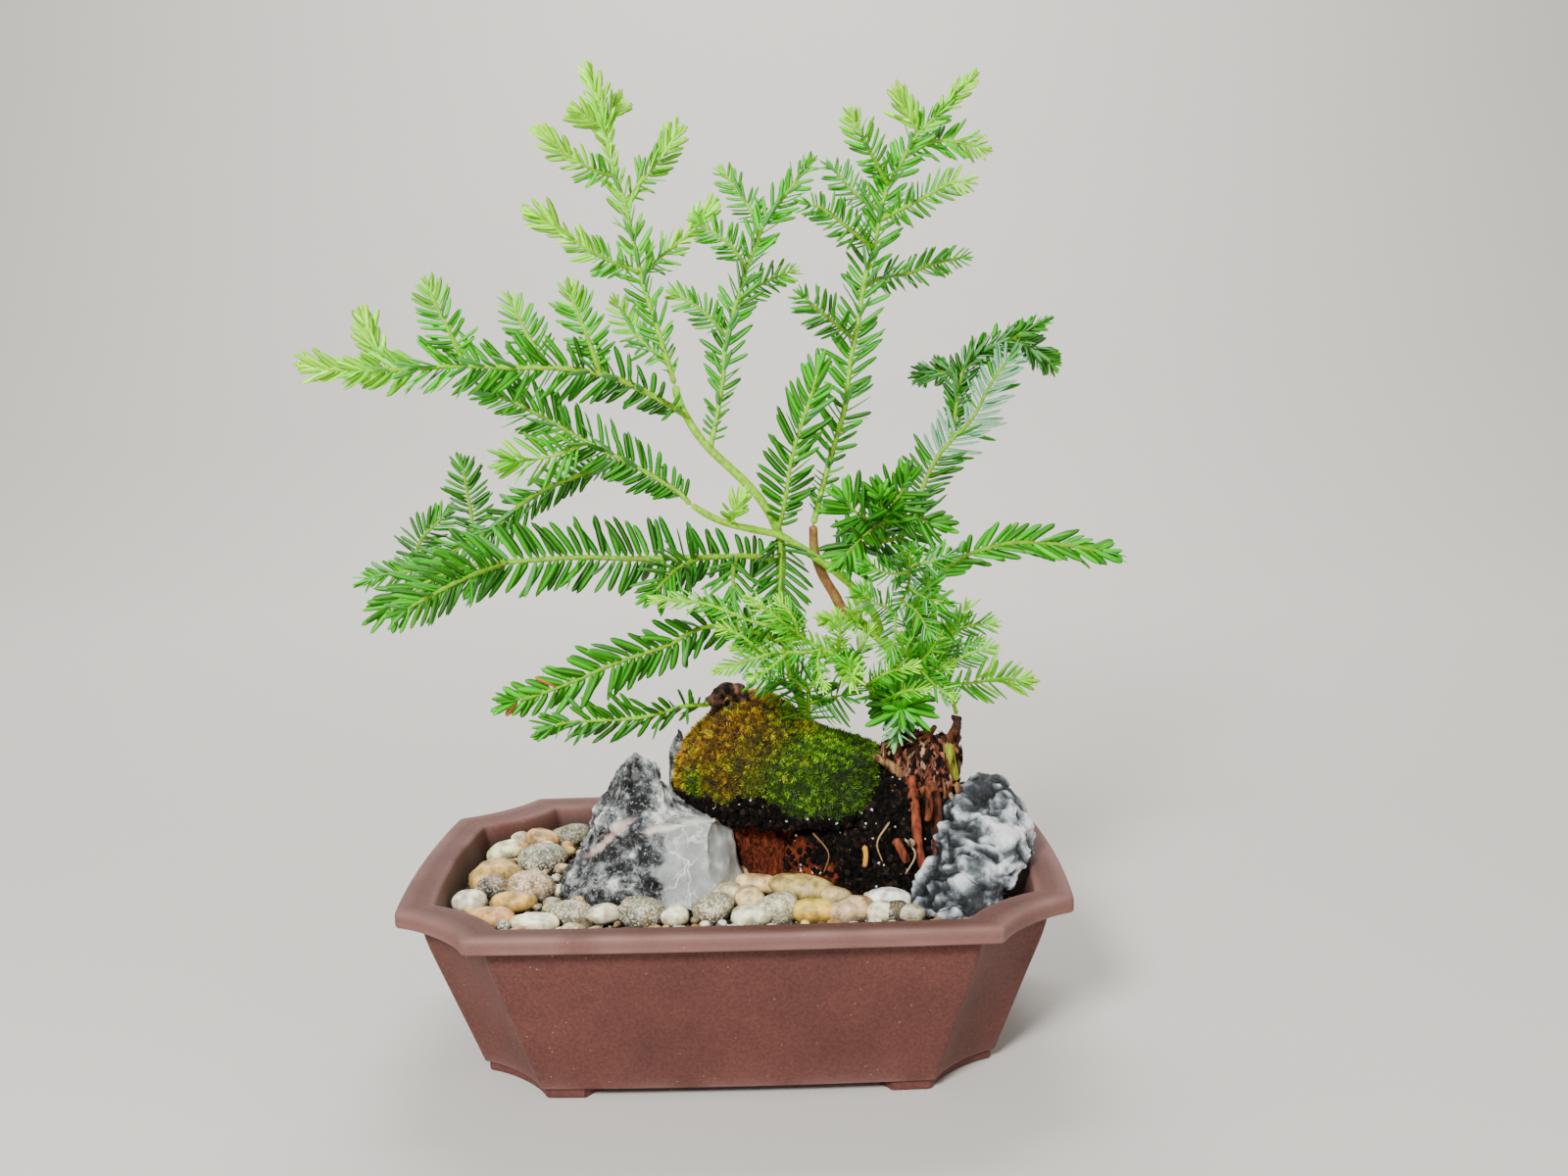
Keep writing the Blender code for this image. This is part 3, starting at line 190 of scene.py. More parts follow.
# Leafy stems. Each twig is (end depth, roll of its flat face in degrees, sheet points). The first one grows
# from another node and the others from an earlier twig of their own node.
SPRAYS = {
    "leader_left": round_shoot(
        "needle_mid", "trunk_left", 13, 1.3,
        (-2, 0, ((-20, 263), (-23, 273), (-27, 287), (-31, 301), (-34, 316), (-37, 331), (-41, 344),
                 (-44, 356))),
        (-18, 10, ((-33, 305), (-48, 312), (-57, 318))),
        (14, -15, ((-30, 304), (-24, 311), (-17, 316))),
        (-14, 20, ((-41, 341), (-48, 344), (-54, 347))),
        (22, 10, ((-22, 270), (-34, 281), (-41, 293)))),
    "leader_left_tip": round_shoot(
        "needle_new", "leader_left", 13, 0.8,
        (-4, 0, ((-44, 357), (-45, 367), (-48, 377))),
        (-10, 0, ((-44, 359), (-52, 365))),
        (6, 0, ((-45, 360), (-39, 368)))),
    "new_tip_far_left": flat(
        "needle_new", "leader_left", 13, 0.8, (-22, 10, ((-58, 319), (-64, 323), (-70, 327)))),
    "new_tip_high_left": flat(
        "needle_new", "leader_left", 12, 0.8, (-18, 15, ((-55, 348), (-61, 352), (-66, 356)))),
    "new_tip_inner": flat(
        "needle_new", "leader_left", 12, 0.8, (18, -15, ((-16, 317), (-11, 322), (-5, 328)))),
    "new_shoot_high": flat("needle_new", "leader_left", 15, 0.9,
                           (16, -25, ((-38, 332), (-28, 342), (-20, 352), (-14, 362)))),
    "leader_middle": round_shoot(
        "needle_mid", "trunk_left", 12, 1.2,
        (24, 0, ((-6, 237), (-4, 249), (-1, 264), (0, 276), (3, 287), (8, 303), (12, 313), (16, 322),
                 (22, 330),
                 (30, 340), (37, 349))),
        (30, 0, ((15, 320), (10, 330), (2, 341))),
        (6, 10, ((9, 306), (3, 315), (-8, 323))),
        (34, -10, ((6, 293), (15, 300), (25, 304))),
        (6, 15, ((0, 280), (-8, 290), (-17, 296)))),
    "leader_right": round_shoot(
        "needle_mid", "trunk_right", 13, 1.4,
        (10, 0, ((33, 207), (36, 217), (40, 231), (45, 247), (47, 256), (49, 271), (52, 285), (55, 302),
                 (59, 314), (61, 325), (64, 335),
                 (69, 344), (75, 354), (82, 361), (88, 367))),
        (-10, 0, ((64, 336), (58, 348), (52, 360))),
        (22, 10, ((70, 347), (81, 352), (91, 352), (106, 348)))),
    "leader_right_tip": flat(
        "needle_new", "leader_right", 11, 0.8, (11, 0, ((89, 368), (92, 371), (95, 374)))),
    "new_tip_crown": flat("needle_new", "leader_right", 12, 0.8, (2, 5, ((76, 355), (73, 361), (70, 367)))),
    "fern_right_high": flat(
        "needle_mid", "leader_right", 15, 1.1,
        (-24, 20, ((61, 323), (71, 328), (81, 333), (90, 337), (100, 336)))),
    "fern_right_low": flat(
        "needle_dark", "leader_right", 15, 1.1,
        (36, -25, ((54, 297), (60, 301), (72, 303), (84, 307), (99, 309)))),
    "fern_left_high": flat(
        "needle_mid", "leader_right", 14, 1.1,
        (-26, 20, ((57, 313), (48, 321), (39, 328), (28, 331)))),
    "fern_left_back": flat(
        "needle_dark", "leader_right", 13, 1.0, (40, -10, ((62, 327), (52, 333), (43, 343)))),
    "fern_left_low": flat(
        "needle_dark", "leader_right", 15, 1.1,
        (-16, 15, ((49, 278), (41, 286), (34, 292), (26, 299)))),
    "fan_centre": flat(
        "needle_mid", "trunk_left", 15, 1.1,
        (-20, -10, ((20, 203), (22, 215), (25, 232), (29, 245), (33, 256), (38, 273)))),
    "spray_right_base": flat(
        "needle_dark", "trunk_right", 16, 1.3,
        (22, -5, ((38, 190), (45, 193), (53, 198), (62, 199), (72, 202), (80, 206)))),
    "silver_spray": flat(
        "needle_silver", "spray_right_base", 17, 1.2,
        (46, 20, ((73, 204), (76, 218), (82, 231), (89, 239), (96, 246), (102, 257), (107, 265),
                  (115, 273)))),
    "dark_spray_high": flat(
        "needle_dark", "silver_spray", 17, 1.1,
        (60, -15, ((88, 238), (90, 252), (93, 266), (101, 273), (113, 278), (121, 282), (128, 285))),
        (66, 0, ((112, 277), (120, 273), (127, 267))),
        (70, 0, ((93, 264), (84, 265), (76, 263)))),
    "arching_right": flat(
        "needle_dark", "trunk_right", 17, 1.4,
        (24, 25, ((65, 151), (71, 157), (73, 166), (75, 175), (79, 182), (85, 187), (91, 191), (98, 194),
                  (112, 197), (130, 196), (142, 194), (154, 191))),
        (-12, 0, ((76, 182), (79, 178), (81, 169), (82, 158)))),
    "silver_cluster": flat(
        "needle_silver", "spray_right_base", 12, 0.9,
        (-24, 30, ((68, 199), (70, 192), (71, 184), (68, 175), (61, 165))),
        (-26, 0, ((70, 183), (71, 189), (71.5, 195)))),
    "shoot_right": flat(
        "needle_mid", "trunk_stub", 12, 1.0,
        (24, 0, ((89, 129), (86, 140), (83, 152), (88, 163), (97, 176))),
        (34, 0, ((84, 150), (90, 154), (97, 158)))),
    "tuft_right": flat(
        "needle_mid", "trunk_right", 13, 1.0,
        (-12, 10, ((66, 143), (73, 147), (81, 147), (92, 149))),
        (-20, 10, ((73, 147), (78, 153), (82, 159)))),
    "cluster_mid": flat(
        "needle_dark", "spray_right_base", 14, 1.0,
        (-14, 15, ((59, 199), (61, 207), (60, 216))),
        (-26, -30, ((60, 207), (53, 201), (47, 195), (41, 188))),
        (-8, 20, ((61, 207), (69, 209), (79, 206)))),
    "pale_right_low": flat(
        "needle_new", "shoot_right", 13, 0.9,
        (30, 30, ((86, 140), (96, 141), (104, 142), (112, 142), (121, 141)))),
    "droop_centre": flat(
        "needle_dark", "trunk_left", 15, 1.1, (-22, 0, ((20, 204), (20, 197), (20, 190), (19.5, 182),
                                                        (19, 173), (17.5, 160)))),
    "stem_crossing": Spray("stem_bark", "trunk_right", "bare", 0, 1.9, [
        Twig(-12, 0, ((60, 159), (57, 169), (50, 179), (43, 186), (35, 192), (28, 197), (20, 202),
                      (10, 204.5), (0, 207), (-8, 210.5), (-15, 215)))]),
    "tuft_crossing": flat("needle_new", "stem_crossing", 10, 0.9, (-20, 0, ((1, 207), (2, 212), (5, 217)))),
    "pale_inner": flat(
        "needle_new", "trunk_right", 10, 0.9,
        (-14, 0, ((53, 165), (46, 168), (38, 168))),
        (-22, 0, ((47, 168), (50, 172), (52, 178)))),
    "branch_left_high": flat(
        "needle_mid", "trunk_left", 16, 1.5,
        (-28, 20, ((-15, 250), (-27, 257), (-43, 265), (-60, 269), (-81, 270), (-104, 271), (-127, 270),
                   (-149, 270))),
        (-34, 5, ((-101, 271), (-107, 285), (-112, 296), (-116, 307))),
        (-6, -10, ((-69, 270), (-76, 281), (-81, 292), (-85, 300))),
        (-22, 10, ((-49, 267), (-54, 283), (-58, 294), (-61, 305)))),
    "tip_left_high": flat(
        "needle_new", "branch_left_high", 13, 0.9, (-30, 20, ((-150, 270), (-155, 271), (-160, 272)))),
    "fan_left_high": flat(
        "needle_new", "branch_left_high", 13, 0.8, (-20, 0, ((-131, 270), (-136, 279), (-139, 288)))),
    "branch_left_mid": flat(
        "needle_dark", "stem_crossing", 15, 1.3,
        (-4, 25, ((-15, 215), (-21, 221), (-37, 231), (-54, 240), (-71, 250), (-84, 257), (-97, 262)))),
    "fresh_left_mid": flat("needle_new", "branch_left_mid", 13, 0.9,
                           (-24, 20, ((-55, 240), (-66, 236), (-78, 234), (-91, 234)))),
    "branch_left_long": flat(
        "needle_dark", "branch_left_mid", 17, 1.3,
        (38, -15, ((-39, 232), (-50, 230), (-68, 224), (-81, 217), (-93, 207), (-107, 200), (-124, 192),
                   (-136, 190),
                   (-148, 187))),
        (26, 0, ((-101, 203), (-102, 216), (-104, 231))),
        (44, 0, ((-126, 192), (-122, 203), (-113, 212)))),
    "branch_left_low": flat(
        "needle_dark", "trunk_left", 18, 1.5,
        (-26, 15, ((19, 192), (8, 194), (-14, 194), (-37, 194), (-60, 195), (-83, 194), (-106, 192),
                   (-125, 184),
                   (-142, 172))),
        (-50, 20, ((-88, 193), (-107, 187), (-129, 176))),
        (-30, 0, ((-12, 194), (-22, 189), (-30, 181))),
        (-22, 0, ((2, 194), (1, 188), (1, 181), (2, 173)))),
    "spray_lower_left": flat(
        "needle_dark", "trunk_left", 15, 1.3,
        (-36, 25, ((22, 158), (8, 164), (-11, 166), (-26, 159), (-45, 153), (-62, 146), (-82, 139),
                   (-95, 137)))),
    "spray_bottom_left": flat(
        "needle_mid", "dead_stub", 14, 1.1,
        (-34, 45, ((-10, 134), (-21, 134), (-37, 130), (-57, 129), (-70, 128), (-80, 124)))),
    "pale_centre": flat(
        "needle_new", "trunk_right", 14, 1.1,
        (-34, 15, ((68, 130), (62, 133), (56, 138), (50, 144), (46, 151), (38, 155), (29, 160), (21, 164),
                   (14, 173))),
        (-38, 10, ((38, 155), (25, 155), (9, 156), (-5, 158))),
        (-22, 0, ((47, 150), (52, 157), (55, 163))),
        (-40, 10, ((20, 164), (8, 168), (-9, 175), (-22, 177), (-37, 178))),
        (-46, 10, ((18, 156), (9, 153), (-4, 149)))),
    "rosette_centre": Spray("needle_new", "pale_centre", "star", 10, 1.0, [
        Twig(-42, 0, ((46, 151), (46.5, 148), (47.5, 144)))]),
    "rosette_right": Spray("needle_silver", "trunk_right", "star", 13, 1.1, [
        Twig(-12, 0, ((68, 137), (67.5, 134), (67, 131))),
        Twig(-10, 0, ((67, 130), (66, 125), (65, 120)))]),
    "shoot_moss": flat("needle_dark", "trunk_left", 14, 0.9,
                       (-24, 0, ((31, 126), (30, 134), (31, 141), (36, 148)))),
    "shoot_blue": flat("needle_silver", "trunk_left", 12, 0.9, (-18, 10, ((25, 141), (19, 144), (9, 145)))),
}

END_NEEDLES = 8 * MM
BUD = 7
SPIRAL = math.radians(137.5)
STEM_TONE = {"needle_dark": 0.7, "needle_mid": 1.0, "needle_new": 1.15, "needle_silver": 0.8}

# How the needles of a stem look: length as a share of the stem's own, blade width and distance from needle to
# needle along a side in millimetres, angle to the stem at its foot and at its tip in degrees, youth (0 dark, 0.5
# green, 1 lime) at foot and tip, the shares that are turned over and that stand out to the front, and the share
# of the way at which they reach full length. A plus marks a node's side twigs.
Leaf = namedtuple("Leaf", "long wide gap foot tip old young silver front late", defaults=(0.25,))
LEAVES = {
    "needle_dark": Leaf(.95, 2.4, 2.8, 72, 42, .03, .3, .03, .12),
    "needle_mid": Leaf(.85, 2, 2.4, 68, 38, .3, .7, .03, .16),
    "needle_new": Leaf(.8, 2.2, 1.9, 42, 16, .85, 1, 0, .25),
    "needle_silver": Leaf(.9, 1.9, 2.6, 66, 44, .2, .5, .9, .1),
    "leader_left": Leaf(.8, 1.9, 3, 52, 36, .45, .9, 0, .3),
    "leader_left+": Leaf(.75, 1.7, 2.2, 60, 34, .45, 1, 0, .15),
    "leader_middle": Leaf(.95, 2.1, 2.9, 58, 38, .25, .6, 0, .35),
    "leader_middle+": Leaf(.75, 1.6, 2.1, 64, 36, .25, .7, .05, .15),
    "leader_right": Leaf(.95, 2.2, 2.9, 62, 38, .2, .6, 0, .35),
    "leader_right+": Leaf(.75, 1.7, 2.1, 60, 36, .3, .95, .03, .15),
    "new_shoot_high": Leaf(.75, 1.8, 2.3, 52, 24, .6, 1, .02, .15),
    "fern_right_high": Leaf(.62, 1.5, 2, 62, 44, .3, .9, .1, .15),
    "fern_right_low": Leaf(.6, 1.5, 2, 62, 50, .1, .6, .15, .12),
    "fern_left_high": Leaf(.68, 1.5, 2, 66, 46, .2, .5, .12, .15),
    "fern_left_back": Leaf(.7, 1.5, 2, 66, 46, .1, .5, .05, .15),
    "fern_left_low": Leaf(.68, 1.5, 2, 66, 46, .08, .35, .12, .15),
    "fan_centre": Leaf(.95, 2.3, 2.9, 60, 32, .1, .4, .05, .12),
    "silver_spray": Leaf(.85, 2, 2.5, 66, 46, .05, .3, .88, .03),
    "dark_spray_high": Leaf(.55, 2.1, 1.2, 54, 34, 0, .25, .06, .4),
    "arching_right": Leaf(.9, 2.9, 3.9, 46, 30, .25, .4, 0, .06, .65),
    "silver_cluster": Leaf(.85, 1.5, 1.8, 60, 40, .2, .45, .4, .4),
    "silver_cluster+": Leaf(.7, 1.3, 1.9, 62, 38, .1, .45, .15, .1),
    "shoot_right": Leaf(.8, 1.6, 2.2, 50, 30, .4, .9, .1, .2),
    "shoot_right+": Leaf(.65, 1.3, 1.9, 56, 30, .15, .8, .05, .1),
    "tuft_right": Leaf(.7, 1.5, 1.9, 60, 40, .15, .8, .1, .4),
    "tuft_right+": Leaf(.6, 1.3, 1.8, 58, 36, .15, .85, .1, .1),
    "cluster_mid": Leaf(1, 2.7, 2.8, 66, 40, .03, .3, .04, .2),
    "pale_right_low": Leaf(1, 1.9, 2.5, 62, 40, .5, .75, .2, .1),
    "droop_centre": Leaf(1, 2, 2.5, 60, 50, 0, .1, .03, .1),
    "pale_inner": Leaf(.8, 1.9, 2.2, 50, 30, .7, .95, .05, .3),
    "branch_left_high": Leaf(.95, 2.3, 2.3, 70, 38, .05, .85, .03, .4),
    "branch_left_high+": Leaf(.65, 1.7, 2.2, 76, 34, .3, .8, .02, .05),
    "fresh_left_mid": Leaf(1.1, 2.1, 2.8, 62, 34, .5, .65, .04, .15),
    "branch_left_mid": Leaf(.95, 2.3, 2.3, 66, 46, .08, .3, .05, .25),
    "branch_left_long": Leaf(.7, 2, 2.3, 52, 36, .05, .4, .1, .25),
    "branch_left_long+": Leaf(.65, 1.8, 2.1, 74, 40, .02, .25, .03, .06),
    "branch_left_low": Leaf(.95, 2.8, 3.3, 82, 36, .03, .3, .03, .06),
    "branch_left_low+": Leaf(.75, 2, 2.5, 60, 36, .05, .3, .15, .15),
    "spray_lower_left": Leaf(.95, 2.8, 3.5, 66, 40, .1, .4, .03, .06),
    "spray_bottom_left": Leaf(.95, 2, 2.6, 66, 40, .03, .3, .06, .15),
    "pale_centre": Leaf(.6, 1.2, 1.9, 58, 32, .4, 1, .1, .35),
    "pale_centre+": Leaf(.5, 1.1, 1.8, 56, 26, .25, 1, .1, .1),
    "rosette_centre": Leaf(.7, 1.5, 2, 70, 50, .4, 1, .05, 0),
    "rosette_right": Leaf(1.15, 3.3, 2.6, 100, 86, .15, .4, 0, 0),
    "rosette_right+": Leaf(.7, 2.2, 3.2, 74, 50, .4, .7, 0, 0),
    "shoot_moss": Leaf(.95, 1.4, 2.6, 72, 60, .05, .2, .05, .1),
    "shoot_blue": Leaf(.85, 1.7, 2.2, 66, 44, .1, .3, .35, .2),
}

# Small side shoots of the fine model, as further twigs of a node: (end depth, roll, sheet points).
SIDE_SHOOTS = {
    "pale_centre": (
        (-38, 0, ((30, 159), (21, 167), (9, 176))), (-30, 0, ((53, 141), (62, 146), (72, 148))),
        (-42, 0, ((35, 156), (34, 149), (36, 142))), (-44, 0, ((10, 156), (4, 162), (-3, 165))),
        (-42, 0, ((41, 153), (43, 161), (42, 169))), (-40, 0, ((26, 161), (25, 168), (20, 175))),
        (-30, 0, ((60, 134), (68, 138), (76, 139))), (-44, 0, ((22, 155), (15, 149), (9, 146)))),
    "tuft_right": (
        (-6, 0, ((80, 147), (86, 155), (88, 163))), (-16, 0, ((75, 147), (80, 141), (86, 137))),
        (-10, 0, ((88, 149), (95, 153), (102, 155))), (-18, 0, ((70, 146), (70, 152), (67, 158)))),
    "silver_cluster": (
        (-30, 0, ((71, 186), (63, 186), (55, 189))), (-30, 0, ((70, 180), (77, 176), (85, 174))),
        (-32, 0, ((68, 175), (74, 170), (78, 163))), (-30, 0, ((65, 171), (58, 174), (52, 178))),
        (-30, 0, ((71, 189), (78, 190), (85, 192))), (-30, 0, ((64, 168), (65, 161), (63, 154)))),
    "shoot_right": (
        (20, 0, ((84, 149), (76, 153), (70, 159))), (20, 0, ((87, 160), (94, 164), (102, 165))),
        (26, 0, ((85, 142), (78, 146), (73, 152)))),
    "cluster_mid": (
        (-20, 0, ((60, 206), (52, 209), (46, 215))), (-16, 0, ((61, 208), (66, 215), (70, 221)))),
    "shoot_moss": (
        (-22, 0, ((30, 134), (36, 136), (43, 137))), (-22, 0, ((31, 139), (25, 143), (20, 147)))),
}

# Where single dry needles hang, (x, z) in millimetres.
DRY_NEEDLES = ((-58, 142), (-66, 150), (-80, 142), (-76, 128))

# Pebbles that show: (x, y, length, width in millimetres, turn in degrees, tint, freckles 0 to 1, height of the
# middle over the bed).
STONES = (
    (-101, 60, 14, 10, 10, "E8E2CC", 0.2, 3), (-88, 58, 17, 11, -20, "C9A27C", 0.2, 3),
    (-77, 62, 18, 11, 5, "7F887E", 0.5, 3), (-101, 40, 15, 12, 30, "D9D2AE", 0.3, 3),
    (-96, 42, 10, 8, -20, "9A7A55", 0.2, 4), (-84, 27, 20, 17, 10, "9A9E97", 1, 4),
    (-99, 5, 23, 16, 20, "D0AE74", 0.2, 3.5), (-97, -12, 13, 10, 0, "4D545B", 0.6, 4.5),
    (-105, -26, 13, 12, 0, "EDE8D6", 0.1, 3.5), (-83, -11, 20, 18, 30, "B09A86", 1, 4),
    (-86, -29, 18, 10, -5, "CDA566", 0.1, 4), (-93, -43, 18, 10, -15, "C0926A", 0.2, 3),
    (-76, -49, 19, 9, -4, "EDE4C4", 0.1, 3), (-63, -43, 19, 11, -15, "A7A79C", 1, 4),
    (-50, -46, 15, 11, 15, "E9E2C8", 0.2, 4), (-36, -45, 20, 13, 5, "A3A69B", 1, 4),
    (-23, -49, 11, 9, 0, "DDD6BC", 0.3, 4), (-9, -43, 17, 14, 30, "A4A295", 1, 4.5),
    (-4, -26, 12, 11, 0, "E6DDBE", 0.3, 4), (5, -33, 13, 14, 0, "E3C7A2", 0.1, 4.5),
    (6, -51, 14, 9, 0, "D5DCC2", 0.3, 4), (9, -17, 20, 10, -10, "C9AD86", 0.2, 5),
    (5, -3, 19, 9, 10, "A99A80", 0.5, 4), (25, -23, 27, 15, -15, "A8996A", 0.2, 5),
    (15, -45, 18, 13, 10, "B9B9A8", 0.8, 4), (29, -47, 16, 12, -10, "D9B05E", 0.1, 4),
    (43, -48, 17, 13, 0, "C9AE96", 0.3, 4), (39, -30, 14, 9, 0, "CDB68E", 0.3, 4),
    (47, -42, 12, 9, 20, "A9825A", 0.2, 4), (54, -50, 12, 9, 10, "E2DCC4", 0.1, 4),
    (59, -37, 17, 10, 5, "F0ECDD", 0, 4), (60, -50, 10, 9, 0, "4A4E50", 0.4, 4),
    (66, -52, 11, 8, 0, "9A9C96", 0.5, 4))
LOOSE_TINTS = ("E6DFC6", "D2BD94", "BFA27A", "A3A398", "8A8D86", "5A5E60", "C9AE96", "D9C08A", "EDE9DA", "97876C",
               "B4906A", "3F4244")

# Roots and chips: (thick radius, thin radius, tint, points (x, y, z)) in millimetres.
HAIR_ROOTS = (
    (0.4, 0.25, "B99B6B", ((60, -26, 92), (55, -27, 84), (57, -26.5, 76))),
    (0.35, 0.2, "8A6A48", ((30, -25, 88), (36, -26, 80), (34, -26, 72))),
    (1.1, 0.9, "E0A23C", ((50, -26.5, 83), (50.5, -27, 79), (50, -26.5, 74))),
    (0.4, 0.25, "C7B08A", ((66, -22, 84), (70, -24, 78), (66, -24, 70))))
WOOD_CHIPS = (
    (1.9, 1.5, "B8C23A", ((85, -6, 118), (86.5, -8, 111), (88, -9, 103))),
    (1.6, 1.2, "C08A5A", ((88, -9.5, 103), (89, -10, 98))),
    (2.0, 1.6, "A85A3E", ((62, -22, 84), (65, -23, 79), (67, -22, 74))),
    (1.8, 1.5, "D9C9A0", ((67, -23, 83), (70, -24, 82))),
    (2.2, 1.2, "B4683F", ((74, -18, 104), (76, -20, 97), (75, -21, 90))))

# Colours of the loose splinters on the stump.
SPLINTERS = ("B0704E", "8A5236", "C58A6A", "5A3220", "E0BC98", "3A2018", "A85848", "1C100C", "2A1810", "B87868",
             "120A08", "4A2A1C")


def shade(text):
    """The linear colour of an sRGB hex value."""
    srgb = [int(text[i:i + 2], 16) / 255 for i in (0, 2, 4)]
    return [c / 12.92 if c <= 0.04045 else ((c + 0.055) / 1.055) ** 2.4 for c in srgb]


def tint_setting(name, description, text):
    """A colour among the settings, given as an sRGB hex value."""
    return FloatVectorProperty(name=name, description=description, subtype="COLOR", default=shade(text),
                               min=0, max=1)


def length_setting(name, description, length, most):
    """A length among the settings and the most that it may be, in millimetres."""
    return FloatProperty(name=name, description=description, default=length * MM, min=0, max=most * MM,
                         subtype="DISTANCE", unit="LENGTH")


class PotSettings(bpy.types.PropertyGroup):
    clay: tint_setting("Clay", "Colour of the fired clay", "643A32")
    clay_dark: tint_setting("Dark clay", "Colour of the clay's darker clouds", "55312B")
    # The lip colour stands for dust and for a painted highlight on the lip's outer roll.
    lip: tint_setting("Lip", "Colour of the worn and dusty lip", "84625B")
    speck: tint_setting("Specks", "Colour of the pale grains in the clay", "CDBBA8")
    ripple: length_setting("Ripple", "Unevenness of the pressed walls", 0.12, 1)


class StoneSettings(bpy.types.PropertyGroup):
    loose_pebbles: IntProperty(name="Loose pebbles", description="Pebbles tried over the whole bed",
                               default=2600, min=0, max=6000)
    grit: IntProperty(name="Grit", description="Grains of grit between the pebbles",
                      default=2600, min=0, max=9000)
    smallest: length_setting("Smallest pebble", "Length of the smallest loose pebbles", 4, 20)
    largest: length_setting("Largest pebble", "Length of the largest loose pebbles", 14, 40)
    limestone: tint_setting("Limestone", "Middle grey of the left rock", "7C8081")
    limestone_dark: tint_setting("Dark limestone", "Dark clouds of the left rock", "3B3F42")
    vein: tint_setting("Veins", "Colour of the left rock's veins", "F1EEE6")
    slate: tint_setting("Slate", "Middle grey of the right rock", "6A7073")
    # The dark slate fills the right rock's hollows as painted shade.
    slate_dark: tint_setting("Dark slate", "Hollows of the right rock", "2B2F35")


class EarthSettings(bpy.types.PropertyGroup):
    tufts: IntProperty(name="Moss tufts", description="Tufts on the moss cushion",
                       default=7000, min=0, max=15000)
    tuft_height: length_setting("Tuft height", "Height of a tuft of moss", 2.1, 6)
    crumbs: IntProperty(name="Crumbs", description="Crumbs of peat on the root ball",
                        default=2400, min=0, max=6000)
    splinters: IntProperty(name="Splinters", description="Loose splinters on the stump",
                           default=800, min=0, max=3000)
    moss: tint_setting("Moss", "Green of the moss", "507C00")
    moss_gold: tint_setting("Golden moss", "Golden brown of the drier moss", "926800")
    peat: tint_setting("Peat", "Colour of the root ball", "140F0B")
    # The burl bark's colour is darkened, painted shade, for the burl sits under the moss's overhang.
    bark: tint_setting("Burl bark", "Colour of the fibrous bark", "5C2715")


class FoliageSettings(bpy.types.PropertyGroup):
    spacing: FloatProperty(name="Needle spacing", description="Factor on the distance from needle to needle",
                           default=0.85, min=0.3, max=3)
    width: FloatProperty(name="Needle width", description="Factor on the width of the needles' blades",
                         default=1.0, min=0.2, max=3)
    thickness: length_setting("Needle thickness", "Thickness of a needle at its midrib", 0.7, 2)
    dark: tint_setting("Dark needles", "Colour of last year's needles", "0A5A0C")
    mid: tint_setting("Green needles", "Colour of this year's needles", "3CBA06")
    new: tint_setting("New needles", "Colour of needles at the growing tips", "AEFF10")
    under: tint_setting("Undersides", "Colour of the bands under most needles", "4FA050")
    silver: tint_setting("Silver undersides", "Colour of the silvery bands", "8CC8A2")
    stem: tint_setting("Green stem", "Colour of young stems", "8CCC10")
    bark: tint_setting("Brown stem", "Colour of older stems", "8C5C33")


class StudioSettings(bpy.types.PropertyGroup):
    floor: tint_setting("Floor", "Colour of the floor", "DAD7D0")
    key: FloatProperty(name="Key light", description="Power of the large light at the front left",
                       default=40, min=0, unit="POWER")
    fill: FloatProperty(name="Fill light", description="Power of the light at the right", default=6, min=0,
                        unit="POWER")
    rim: FloatProperty(name="Back light", description="Power of the light behind", default=6, min=0,
                       unit="POWER")
    sweep: FloatProperty(name="Sweep light", description="Power of the light on the sweep behind", default=90,
                         min=0, unit="POWER")
    sky: FloatProperty(name="Sky", description="Strength of the even light all round", default=0.38, min=0)


def unit(vectors):
    """Vectors divided by their lengths."""
    return vectors / np.maximum(np.linalg.norm(vectors, axis=-1, keepdims=True), 1e-12)


def across(vectors, normals):
    """The parts of vectors that are square to unit normals."""
    return vectors - (vectors * normals).sum(-1, keepdims=True) * normals


def hashed(cell, seed):
    """A number from 0 to 1 for each whole-numbered cell, mixed from its place and the seed."""
    x, y, z = np.moveaxis(cell, -1, 0)
    mixed = (x * 73856093) ^ (y * 19349663) ^ (z * 83492791) ^ (seed * 40503)
    mixed = (mixed ^ (mixed >> 13)) * 1274126177
    return ((mixed ^ (mixed >> 16)) & 0xFFFF) / 65535


def noise(points, size, seed=0):
    """Value noise from -1 to 1: a hashed number at each corner of a lattice of cells, and between the corners
    their mean weighted by t * t * (3 - 2 t) along each axis."""
    place = np.asarray(points) / size + 7.13 * (seed + 1)
    cell = np.floor(place).astype(np.int64)
    t = place - cell
    t = t * t * (3 - 2 * t)
    total = 0
    for corner in itertools.product((0, 1), repeat=3):
        value = 2 * hashed(cell + corner, seed) - 1
        total = total + value * np.prod(np.where(corner, t, 1 - t), axis=-1)
    return total


def chips(points, size, seed=0):
    """Distances, in cells, to the nearest and to the second nearest of seeded points, one in each cell."""
    place = np.asarray(points) / size + 3.7 * (seed + 1)
    home = np.floor(place).astype(np.int64)
    near = np.full(place.shape[:-1], 9.0)
    second = near.copy()
    for step in itertools.product((-1, 0, 1), repeat=3):
        cell = home + step
        spot = cell + np.stack([hashed(cell, seed + k) for k in (11, 23, 37)], -1)
        away = np.linalg.norm(spot - place, axis=-1)
        second = np.minimum(second, np.maximum(near, away))
        near = np.minimum(near, away)
    return near, second


def fractal(points, size, seed=0, octaves=4, fall=0.5):
    """A sum of noise layers, each half as large in scale and fall times as strong as the one before."""
    return sum(fall ** k * noise(points, size / 2 ** k, seed + 31 * k) for k in range(octaves))


